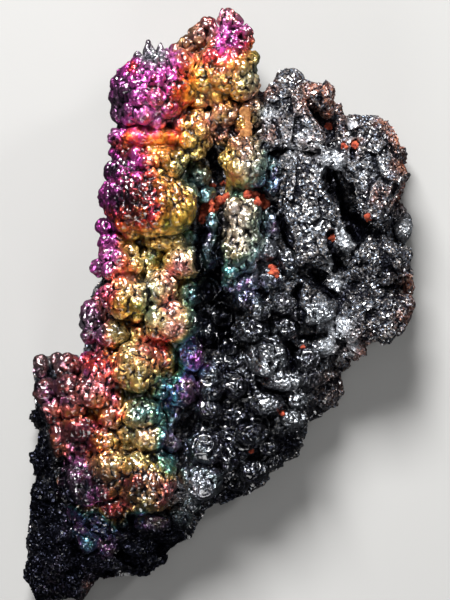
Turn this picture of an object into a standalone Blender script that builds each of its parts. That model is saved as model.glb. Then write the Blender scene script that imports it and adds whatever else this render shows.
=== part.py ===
"""A goethite specimen: one broken plate of iron ore carrying fused, knobbly stalactites.

The specimen lies on its broken back, so the stalactites face up (+Z). They hang from the
crown at +Y towards the foot at -Y. The left side (-X) is all rounded growth, and the right
side (+X) is broken open, with rough slabs and a deep slanting groove.
"""

import math

import bmesh
import bpy
import numpy as np
from mathutils import Matrix, Vector, noise

NAME = "goethite_specimen"
MM = 0.001

# Heights above the surface that the specimen lies on, in millimetres.
BASE_TOP = 12.0  # the thin broken edge that runs all round
BED_TOP = 21.0  # the thicker rock that the stalactites grow from
CORE_TOP = 27.0  # the grown cores that fill the gaps between the lumps
ROOT = 10.0  # the small lumps reach down at least this far, so none hangs free
BIG_LUMP_ROOT = 18.0  # and the big ones this far
BIG_LUMP = 4.0  # the half height that makes a lump a big one
UNDERSIDE = 0.3  # the broken back, cut off flat at 0 where it stands out

# How finely the specimen is drawn.
VOXEL = 1.0
TRIANGLES = 8700
CUTTER_SIZE = (0.3, 0.4, 0.02)  # in metres
GOLDEN_ANGLE = math.pi * (3 - math.sqrt(5))

# Small knobs on the big lumps.
KNOB_ON_RADIUS = 5.5  # lumps wider than this carry knobs
KNOB_RADIUS = 2.9
KNOB_AREA = 34.0  # square millimetres of lump for each knob

# The texture of the broken rock: how wide its facets and crumbs are, and how far they rise.
FACET = 8.0
FACET_RISE = 3.2
CRUMB = 2.6
CRUMB_RISE = 1.2
LUMP_RISE = 0.3

# Each lump is x, y, z of its middle, then its half width and half length, in millimetres.
# A lump's half height is the geometric mean of the two.
LUMPS = {
    "spires": (
        (-22, 77.5, 30, 1.4, 3), (-18, 77, 31, 1.4, 3), (-24.5, 74.5, 29, 1.3, 2.5),
        (2.5, 84, 28, 2.5, 5.5), (4.8, 83, 28, 1.6, 5), (8, 80.5, 28, 1.5, 4.5),
    ),
    "crown": (
        (-20, 64, 30, 12, 9.5), (-29, 63, 29, 4, 4.5), (-30.5, 58, 28, 2.5, 3),
        (-27, 69, 31, 3.5, 3), (-19, 74.5, 30, 5, 4.5), (-11.5, 71.5, 31, 4, 5),
        (-11.5, 63.5, 32, 4.5, 4), (-21, 58, 32, 9.5, 4),
    ),
    "neck": (
        (-21, 50.5, 27, 11, 4), (-31, 50.5, 28, 2.5, 3), (-30.5, 46.5, 26, 2.5, 2.5),
    ),
    "shoulder": (
        (-18, 43, 30, 8, 6), (-26.5, 42.5, 29, 6, 5.5), (-11, 56.5, 29, 3.5, 3.5),
        (-8.5, 51.5, 29, 5, 7.5), (-32.5, 40, 25, 2.5, 3),
    ),
    "big_lump": (
        (-21, 30.5, 30, 13.5, 10), (-32, 33, 27, 4.5, 5), (-15.5, 28, 32, 8, 7),
        (-26.5, 35, 34, 6.5, 5), (-35, 24, 24, 2.5, 2.5), (-34, 19, 25, 2.5, 2.5),
    ),
    "waist": (
        (-16.5, 19, 29, 7, 2.5), (-30, 19, 26, 5, 2.5), (-20.5, 15.5, 28, 3.5, 2.5),
    ),
    "twins": (
        (-30, 12.5, 31, 6, 5.5), (-36.5, 11.5, 25, 2.5, 2.5), (-22, 12.5, 29, 3.5, 3.5),
        (-11, 13, 31, 5.5, 5),
    ),
    "bulge": (
        (-28, 2.5, 32, 7, 6.5), (-18, 5, 32, 5, 5.5), (-9.5, 3.5, 27, 3.5, 4),
        (-35, 2, 25, 3, 3.5),
    ),
    "side": (
        (-38.5, -4, 26, 3.5, 6), (-39.5, -9, 26, 2.5, 2.5), (-32, -8.5, 31, 5, 4),
        (-14.5, -5, 32, 8, 5.5), (-24, -8, 29, 4, 3.5), (-19.5, -12.5, 28, 3.5, 2.5),
    ),
    "middle": (
        (-25, -18.5, 32, 7, 7.5), (-26, -14.5, 35, 4, 3.5), (-23, -20, 35, 4, 3.5),
        (-16.5, -15.5, 29, 3.5, 3.5), (-9, -15, 28, 4, 5), (-18, -24.5, 30, 3.5, 3.5),
        (-11.5, -25, 28, 4.5, 5.5),
    ),
    "pink": (
        (-36, -21, 30, 5, 6), (-34, -15.5, 28, 3.5, 3.5), (-38, -26, 32, 5, 4.5),
        (-39.5, -17, 27, 3, 3), (-33, -29, 29, 4, 4),
    ),
    "shelf": (
        (-54.5, -18.5, 20, 2, 3.5), (-49.5, -16.5, 19, 2, 2), (-46, -18.5, 23, 3.5, 4),
        (-52.5, -26, 22, 3.5, 3.5), (-45.5, -24.5, 27, 4, 4), (-50.5, -32, 22, 3.5, 4),
        (-43.5, -30, 29, 4, 3.5), (-49, -39.5, 21, 2.5, 6.5), (-41.5, -36.5, 27, 6, 4.5),
        (-32.5, -33, 30, 4, 4), (-42.5, -42.5, 24, 5.5, 3), (-35, -40.5, 28, 5, 4.5),
    ),
    "inner": (
        (-23.5, -32.5, 31, 6, 5), (-21, -39.5, 31, 5.5, 4), (-28, -38, 28, 3.5, 3.5),
        (-20, -44.5, 29, 3.5, 2.5),
    ),
    "foot": (
        (-33.5, -48.5, 30, 6, 5), (-42, -53.5, 27, 6.5, 6.5), (-34.5, -55, 28, 4.5, 4),
        (-22.5, -53.5, 28, 8.5, 8.5), (-24.5, -48.5, 32, 5.5, 4), (-21, -58, 33, 5.5, 3),
        (-17, -49, 31, 3.5, 4), (-32.5, -60.5, 26, 4, 3.5), (-39, -59.5, 24, 3.5, 3),
    ),
    "gold_top": (
        (1.5, 71, 29, 9.5, 8.5), (6.5, 66.5, 31, 5.5, 5), (-4.5, 68, 31, 4.5, 5),
        (1, 78, 28, 5, 6), (-1, 63, 30, 4, 3.5), (-6, 62.5, 29, 4, 4),
    ),
    "brown_top": ((-5, 82, 21, 4, 4.5), (-10, 77.5, 18, 4, 2.5), (-15, 74, 20, 3.5, 3)),
    "ochre": (
        (1.5, 57.5, 30, 4.5, 4), (9.5, 58, 28, 4, 5), (7, 54.5, 29, 3, 5),
        (1.5, 51.5, 28, 3.5, 3.5), (-3.5, 55, 29, 3.5, 3.5), (12, 50.5, 25, 2.5, 5),
    ),
    "gold_column": (
        (7.5, 43, 31, 6.5, 8.5), (6, 26.5, 31, 6, 6.5), (5, 17, 30, 6.5, 7.5),
        (6.5, 7.5, 27, 6, 4),
    ),
    "teal": (
        (15.5, 39.5, 26, 3, 6.5), (15.5, 25, 26, 2.5, 5), (14, 17, 26, 3, 3.5),
        (15, 8, 27, 3.5, 3.5), (20.5, 13, 25, 3, 4),
    ),
    "valley": (
        (-6.5, 39.5, 26, 3.5, 3.5), (-4, 33.5, 26, 2.5, 2.5), (-1.5, 25, 27, 2.5, 3.5),
        (-3.5, 17.5, 24, 4, 6.5), (-9, 20, 26, 2.5, 2.5), (-4, 5, 22, 3.5, 3.5),
        (0.5, -2.5, 23, 3, 3.5), (2.5, -11.5, 23, 3, 3.5), (-4, -8.5, 21, 3, 3.5),
    ),
    "knobs": (
        (8, 2, 27, 4, 3.5), (11.5, -1.5, 28, 4, 3.5), (9, -7.5, 28, 5.5, 3.5),
        (19, 0.5, 28, 3.5, 3.5), (19.5, -7, 27, 4, 3.5), (28, -2.5, 29, 6.5, 3),
        (14.5, -16, 31, 6, 5.5), (19, -23, 30, 6.5, 2.5), (23, -28, 29, 2.5, 3),
        (14, -29.5, 30, 5, 3.5), (22, -34, 31, 3.5, 2.5), (6, -34, 27, 2.5, 2.5),
        (9.5, -38.5, 28, 5, 3.5), (14.5, -42.5, 26, 3, 2.5), (-3, -23.5, 28, 4, 6),
        (-3.5, -31, 28, 4, 3), (4.5, -24.5, 27, 3.5, 3.5), (-4.5, -43, 28, 6, 5),
        (2.5, -46, 26, 3, 4), (-5, -53, 28, 5.5, 5.5), (10, -50, 23, 4.5, 3.5),
        (5.5, -54, 18, 3.5, 2.5), (15.5, -47, 19, 3.5, 2.5), (-14.5, -41.5, 28, 2.5, 2.5),
        (-15, -46, 25, 2.5, 2), (-10, -51.5, 23, 2.5, 2.5), (26.5, -16, 27, 3.5, 3.5),
        (27.5, -21.5, 26, 3.5, 3), (3, -17.5, 22, 3.5, 3.5),
    ),
    "lower_ledge": (
        (-12, -64, 20, 3.5, 3.5), (-19.5, -65.5, 21, 5.5, 2.5), (-8.5, -60, 20, 3, 2.5),
        (-29.5, -66.5, 20, 4, 3.5), (-38, -65, 19, 3.5, 2.5), (-45, -63, 15, 2, 2.5),
        (-42.5, -67, 15, 2.5, 3), (-40.5, -71.5, 15, 2.5, 3.5), (-48, -70.5, 12, 3, 3),
        (-33.5, -71.5, 17, 3.5, 4), (-25, -72.5, 17, 5, 3.5), (-16.5, -69.5, 17, 4.5, 3),
        (-22.5, -77, 14, 6, 2.5), (-34.5, -78, 13, 6.5, 3), (-51, -80.5, 10, 5, 5),
        (-47.5, -76, 11, 4, 4),
    ),
    "left_edge": (
        (-53.5, -28, 10, 2.5, 9), (-54, -46, 9, 2.5, 9), (-55, -58, 8, 2.5, 6),
        (-56, -70, 8, 2, 6), (-56.5, -83, 8, 2, 4),
    ),
    "nubs": (
        (21, 68, 25, 4, 3.5), (29, 63.5, 24, 5, 4.5), (32.5, 59.5, 23, 2.5, 3.5),
        (16.5, 63.5, 27, 3.5, 4),
    ),
    "right_rim": (
        (56, 23, 19, 2.5, 3.5), (55, 41, 18, 2, 3.5), (53.5, 35, 18, 2, 2.5),
        (57.5, 7, 15, 1.5, 4),
    ),
    "lobes": (
        (33.5, 44, 28, 6, 3), (41, 53, 27, 6, 2.5),
        (48, 13, 21, 10, 7), (46, -2, 20, 11.5, 9), (38, 20, 25, 4, 5), (37.5, -7, 26, 5, 4),
        (32.5, -11.5, 25, 4, 3.5), (39.5, -13.5, 22, 4, 3), (31, 1, 27, 3.5, 3.5),
    ),
    "lower_right": ((32, -26, 14, 4.5, 5), (19.5, -41.5, 15, 5, 5.5), (27, -32.5, 13, 3.5, 2.5)),
}

# Broken rock: each slab is an outline in millimetres, the heights of its underside and its
# top, and how far its shoulder slopes in.
BROKEN_EDGE = (
    (-7.5, 79), (9, 74), (12.5, 66), (21, 69.5), (33.5, 67), (38, 59), (51.5, 57.5),
    (54, 53), (57, 43), (56, 35.5), (55, 31.5), (59, 24.5), (56, 17.5), (59.5, 9.5),
    (60, 5.5), (58, -2), (54.5, -6), (43.5, -13), (37.5, -20), (38, -26.5), (35, -30.5),
    (26.5, -35.5), (24, -46), (16, -51.5), (13, -55), (1.5, -60), (-5, -62.5), (-8.5, -71),
    (-13, -73), (-19, -79), (-22, -82), (-37, -83.5), (-42, -90), (-56.5, -90.5),
    (-60, -84.5), (-58.5, -74.5), (-59, -67), (-57.5, -56.5), (-56, -49), (-57, -33.5),
    (-57, -20), (-53, -15), (-42.5, -16), (-39, 2), (-36, 11), (-35, 30), (-32, 47),
    (-31, 62), (-21, 74),
)
BED_EDGE = (
    (-6, 76), (7, 72), (12, 64), (24, 64), (33, 59), (49, 54), (53, 40), (52, 24), (54, 8),
    (50, -8), (35, -15), (33, -27), (22, -36), (16, -46), (2, -55), (-9, -63), (-17, -70),
    (-33, -73), (-44, -68), (-47, -56), (-48, -38), (-46, -24), (-37, -16), (-34, 4),
    (-31, 20), (-31, 38), (-29, 50), (-27, 64), (-18, 72),
)
LEFT_CORE = (
    (-30, 71), (-12, 74), (-9, 62), (-8.5, 47), (-9.5, 23), (-8.5, 2), (-7.5, -10), (-9, -28),
    (-16.5, -43), (-16.5, -58), (-28, -61), (-43, -58), (-47, -49), (-48, -28), (-42, -21),
    (-37.5, -19), (-37.5, -7), (-36, 2), (-33, 8), (-32.5, 32), (-31.5, 47),
)
MIDDLE_CORE = (
    (-4.5, 74), (8.5, 74), (11.5, 59), (11, 50), (11.5, 35), (10.5, 14), (9, 5), (1.5, 5),
    (1.5, 32), (2.5, 47), (-1.5, 53), (-4.5, 62),
)
KNOB_CORE = (
    (-6, -18), (12, -12), (24, -14), (28, -22), (22, -38), (8, -46), (-6, -56), (-9, -45),
    (-6, -30),
)
GREY_SLAB = (
    (14.5, 66.5), (24, 64), (30.5, 53.5), (33.5, 43), (29.5, 46), (19, 48), (12.5, 46), (13, 59),
)
RIB = ((18.5, 47), (24, 47), (33, 43), (35.5, 30.5), (35, 17), (29.5, 13), (24, 13), (19, 23.5))
RIGHT_BLOCK = (
    (35, 57), (50.5, 56), (54, 46), (54.5, 37), (52, 30), (47.5, 24), (42.5, 27), (40, 37),
    (35.5, 42.5),
)
SADDLE = (
    (12.5, 52), (30, 50), (37, 42.5), (40, 17), (44, -8), (36, -14), (24, -18), (12, -14),
    (8, -4), (10, 6), (12.5, 17),
)
SHELF = ((-56, -17.5), (-44, -17), (-44, -45), (-50, -47), (-53, -36))
PLATES = (
    (BROKEN_EDGE, UNDERSIDE, BASE_TOP, 2.5),
    (BED_EDGE, 2, BED_TOP, 2.5),
    (LEFT_CORE, ROOT, CORE_TOP, 1.5),
    (MIDDLE_CORE, ROOT, CORE_TOP, 1.5),
    (KNOB_CORE, ROOT, CORE_TOP - 2, 1.5),
    (GREY_SLAB, ROOT, 32, 2.0),
    (RIB, ROOT, 30, 2.0),
    (RIGHT_BLOCK, 8, 30, 2.5),
    (SADDLE, 8, 24, 2.0),
    (SHELF, 8, 20, 1.0),
)


def clear_scene():
    for obj in list(bpy.data.objects):
        bpy.data.objects.remove(obj)


def dark_ore():
    """Nearly black, half metallic iron oxide."""
    material = bpy.data.materials.new("goethite")
    material.use_nodes = True
    shader = material.node_tree.nodes["Principled BSDF"]
    shader.inputs["Base Color"].default_value = (0.10, 0.075, 0.07, 1)
    shader.inputs["Roughness"].default_value = 0.45
    shader.inputs["Metallic"].default_value = 0.4
    return material


def unit_ball(fineness):
    """The points and triangles of a ball of radius 1."""
    bm = bmesh.new()
    bmesh.ops.create_icosphere(bm, subdivisions=fineness, radius=1)
    points = np.array([vert.co for vert in bm.verts])
    faces = np.array([[vert.index for vert in face.verts] for face in bm.faces])
    bm.free()
    return points, faces


def lower_half(height, up):
    """How far a lump reaches below its middle: as round as its top, or drawn down to its root."""
    root = ROOT if up < BIG_LUMP else BIG_LUMP_ROOT
    return max(up, height - root)


def placed_ball(ball, centre, radii, down):
    """An ellipsoid with the given half widths, and its own depth below the middle."""
    points, faces = ball
    scaled = points * np.array(radii)
    scaled[:, 2] *= np.where(points[:, 2] < 0, down / radii[2], 1)
    return scaled + np.array(centre), faces


def knobs_on(lump):
    """Small knobs spread evenly over the upper half of a big lump."""
    x, y, z, across, along = lump
    up = math.sqrt(across * along)
    count = round(2 * math.pi * up * up / KNOB_AREA)
    for i in range(count):
        height = 1 - (i + 0.5) / count
        reach = math.sqrt(1 - height * height)
        turn = i * GOLDEN_ANGLE + x
        sunk = 0.84 + 0.08 * math.sin(7 * i + y)
        yield (
            x + sunk * across * reach * math.cos(turn),
            y + sunk * along * reach * math.sin(turn),
            z + sunk * up * height,
        )


def lump_shapes():
    """Every lump, with its knobs."""
    ball = unit_ball(4)
    small_ball = unit_ball(2)
    for cluster in LUMPS.values():
        for lump in cluster:
            x, y, z, across, along = lump
            up = math.sqrt(across * along)
            yield placed_ball(ball, (x, y, z), (across, along, up), lower_half(z, up))
            if up > KNOB_ON_RADIUS:
                for place in knobs_on(lump):
                    yield placed_ball(small_ball, place, [KNOB_RADIUS] * 3, KNOB_RADIUS)


def inward(outline, distance):
    """The outline moved in by a distance, square to the line between each corner's neighbours."""
    points = np.array(outline, float)
    along = np.roll(points, -1, axis=0) - np.roll(points, 1, axis=0)
    along /= np.linalg.norm(along, axis=1, keepdims=True)
    return points + np.stack((along[:, 1], -along[:, 0]), axis=1) * distance


def slab(outline, low, high, slope):
    """A slab with a sloping shoulder above and an edge drawn in below."""
    levels = ((low, 2 * slope), (low + 5, 0.4 * slope), (high - slope, 0), (high, slope))
    corners = len(outline)
    rings = [np.insert(inward(outline, inset), 2, height, axis=1) for height, inset in levels]
    faces = [range(corners), range(4 * corners - 1, 3 * corners - 1, -1)]
    for first in range(0, 3 * corners, corners):
        for i in range(corners):
            after = (i + 1) % corners
            faces.append((first + i, first + corners + i, first + corners + after, first + after))
    return np.concatenate(rings), [tuple(face) for face in faces]


def joined(shapes):
    """One mesh of all the shapes, in metres, still overlapping."""
    points = []
    faces = []
    for shape_points, shape_faces in shapes:
        shift = sum(len(group) for group in points)
        faces += [[int(corner) + shift for corner in face] for face in shape_faces]
        points.append(shape_points)
    mesh = bpy.data.meshes.new(NAME)
    mesh.from_pydata(np.concatenate(points) * MM, [], faces)
    mesh.update()
    return mesh


def evaluated_mesh(obj):
    """The mesh that the object's modifiers make."""
    graph = bpy.context.evaluated_depsgraph_get()
    return bpy.data.meshes.new_from_object(obj.evaluated_get(graph))


def fuse(obj):
    """Makes the overlapping shapes one skin."""
    remesh = obj.modifiers.new("fuse", "REMESH")
    remesh.mode = "VOXEL"
    remesh.voxel_size = VOXEL * MM
    skin = evaluated_mesh(obj)
    obj.modifiers.clear()
    obj.data = skin


def read_vectors(items, field):
    """One vector for each item, as rows of an array."""
    values = np.empty(len(items) * 3)
    items.foreach_get(field, values)
    return values.reshape(-1, 3)


def bare_rock(points):
    """How bare each point is: 0 on a lump, 1 on broken rock clear of every lump."""
    nearest = np.full(len(points), np.inf)
    for cluster in LUMPS.values():
        for x, y, z, across, along in cluster:
            up = math.sqrt(across * along)
            offset = (points - (x, y, z)) / (across, along, up)
            below = offset[:, 2] < 0
            offset[below, 2] *= up / lower_half(z, up)
            nearest = np.minimum(nearest, np.linalg.norm(offset, axis=1))
    return np.clip((nearest - 1.05) / 0.25, 0, 1)


def roughen(obj):
    """Breaks the bare rock into facets, and crumbs away from the back, and leaves the lumps smooth."""
    mesh = obj.data
    points = read_vectors(mesh.vertices, "co") / MM
    normals = read_vectors(mesh.vertex_normals, "vector")
    bare = bare_rock(points)
    crumbs = np.array([noise.noise(Vector(point) / CRUMB) for point in points])
    crumbs *= np.clip(points[:, 2] / BASE_TOP, 0, 1)
    facets = np.array([noise.voronoi(Vector(point) / FACET)[0][0] for point in points]) - 0.45
    rise = bare * (FACET_RISE * facets + CRUMB_RISE * crumbs) + (1 - bare) * LUMP_RISE * crumbs
    moved = points + normals * rise[:, None]
    mesh.vertices.foreach_set("co", (moved * MM).ravel())
    mesh.update()


def thin(obj):
    """Fewer triangles, with the most left where the shape turns most."""
    decimate = obj.modifiers.new("thin", "DECIMATE")
    decimate.ratio = TRIANGLES / (2 * len(obj.data.polygons))
    thinned = evaluated_mesh(obj)
    obj.modifiers.clear()
    obj.data = thinned


def floor_cutter():
    """A block whose top face is the surface that the specimen rests on."""
    mesh = bpy.data.meshes.new("floor_cutter")
    bm = bmesh.new()
    bmesh.ops.create_cube(bm, size=1, matrix=Matrix.Diagonal((*CUTTER_SIZE, 1)))
    bm.to_mesh(mesh)
    bm.free()
    cutter = bpy.data.objects.new("floor_cutter", mesh)
    bpy.context.scene.collection.objects.link(cutter)
    cutter.location.z = -CUTTER_SIZE[2] / 2
    cutter.hide_render = True
    cutter.display_type = "WIRE"
    return cutter


def cut_flat(obj):
    """Cuts the back off flat at height 0, where the specimen rests."""
    flat = obj.modifiers.new("flat", "BOOLEAN")
    flat.operation = "DIFFERENCE"
    flat.solver = "EXACT"
    flat.object = floor_cutter()


def centre_on_origin(obj):
    """Puts the origin under the middle of the specimen."""
    points = read_vectors(obj.data.vertices, "co")
    middle = (points.min(axis=0) + points.max(axis=0)) / 2
    obj.data.transform(Matrix.Translation((-middle[0], -middle[1], 0)))


def build():
    clear_scene()
    shapes = [slab(*plate) for plate in PLATES]
    shapes += lump_shapes()
    specimen = bpy.data.objects.new(NAME, joined(shapes))
    bpy.context.scene.collection.objects.link(specimen)
    fuse(specimen)
    roughen(specimen)
    thin(specimen)
    centre_on_origin(specimen)
    cut_flat(specimen)
    specimen.data.materials.clear()
    specimen.data.materials.append(dark_ore())


build()
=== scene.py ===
"""The looks of the goethite specimen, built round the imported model.

The rock is one natural piece. It is meshed here as five overlapping skins, so that each stays
fine enough for its pimples and grains, with two small pieces of earth on them. Slabs, heights
and most lumps are those of the CAD. Only the neck, the crown with its spires, and the brown top
have a few lumps of their own here. Lengths are in millimetres, but for the lights, the floor and
the camera's distance, which are in metres.
"""

import math

import bmesh
import bpy
import numpy as np
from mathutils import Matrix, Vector


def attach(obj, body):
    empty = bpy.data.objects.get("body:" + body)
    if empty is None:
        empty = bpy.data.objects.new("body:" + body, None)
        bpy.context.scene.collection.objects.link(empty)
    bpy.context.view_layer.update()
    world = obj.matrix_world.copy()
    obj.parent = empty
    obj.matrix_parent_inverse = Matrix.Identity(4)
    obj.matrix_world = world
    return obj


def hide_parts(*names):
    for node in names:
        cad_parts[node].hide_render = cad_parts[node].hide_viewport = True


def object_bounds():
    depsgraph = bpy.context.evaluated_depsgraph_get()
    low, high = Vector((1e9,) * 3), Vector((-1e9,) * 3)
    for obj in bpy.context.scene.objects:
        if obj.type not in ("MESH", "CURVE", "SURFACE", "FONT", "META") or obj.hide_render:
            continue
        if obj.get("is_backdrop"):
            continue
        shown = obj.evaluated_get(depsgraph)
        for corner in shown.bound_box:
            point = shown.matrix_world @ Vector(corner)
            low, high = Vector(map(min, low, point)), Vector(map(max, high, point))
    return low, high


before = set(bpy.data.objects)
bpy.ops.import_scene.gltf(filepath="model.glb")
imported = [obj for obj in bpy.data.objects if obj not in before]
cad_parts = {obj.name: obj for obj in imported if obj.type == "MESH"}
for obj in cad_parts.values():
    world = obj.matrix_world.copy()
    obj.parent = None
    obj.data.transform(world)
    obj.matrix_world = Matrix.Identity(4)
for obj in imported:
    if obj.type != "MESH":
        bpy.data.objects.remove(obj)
cad_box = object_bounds()

NODE = "goethite_specimen"
MM = 0.001

# Heights above the surface that the specimen lies on.
BASE_TOP = 12.0  # the thin broken edge that runs all round
BED_TOP = 21.0  # the thicker rock that the stalactites grow from
CORE_TOP = 27.0  # the grown cores that fill the gaps between the lumps
KNOB_CORE_TOP = 25.0  # the core among the dark knobs
ROOT = 10.0  # the small lumps reach down at least this far
BIG_LUMP_ROOT = 18.0  # and the big ones this far
BIG_LUMP = 4.0  # the half height that makes a lump a big one
UNDERSIDE = 0.3  # the broken back, flat at 0 where it stands out
CORE_SLOPE = 1.5  # how far a core's shoulder slopes in

# Knobs and beads on the lumps. The knobs are those of the CAD.
GOLDEN_ANGLE = math.pi * (3 - math.sqrt(5))
KNOB_ON_RADIUS = 5.5
KNOB_RADIUS = 2.9
KNOB_AREA = 34.0
BEAD_ON_RADIUS = 2.4
BEAD_RADII = (0.8, 1.4)
BEAD_AREA = 7.0
BARE_SATIN = 0.35  # where the film is this satin, there are no knobs and no beads

# How finely each piece is drawn.
VOXEL = 0.33
EARTH_VOXEL = 0.25
MOST_TRIANGLES = 180000
SPECK = 100  # a loose bit with fewer points than this is removed

PIMPLE = 1.6  # the fine pimples, which also carry the small changes of colour
DRAWN_OUT = (1, 0.7, 1)  # pimples are longer along the stalactites than across
ABOVE_ALL = 60.0  # rays that look for the surface start at this height

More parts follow.
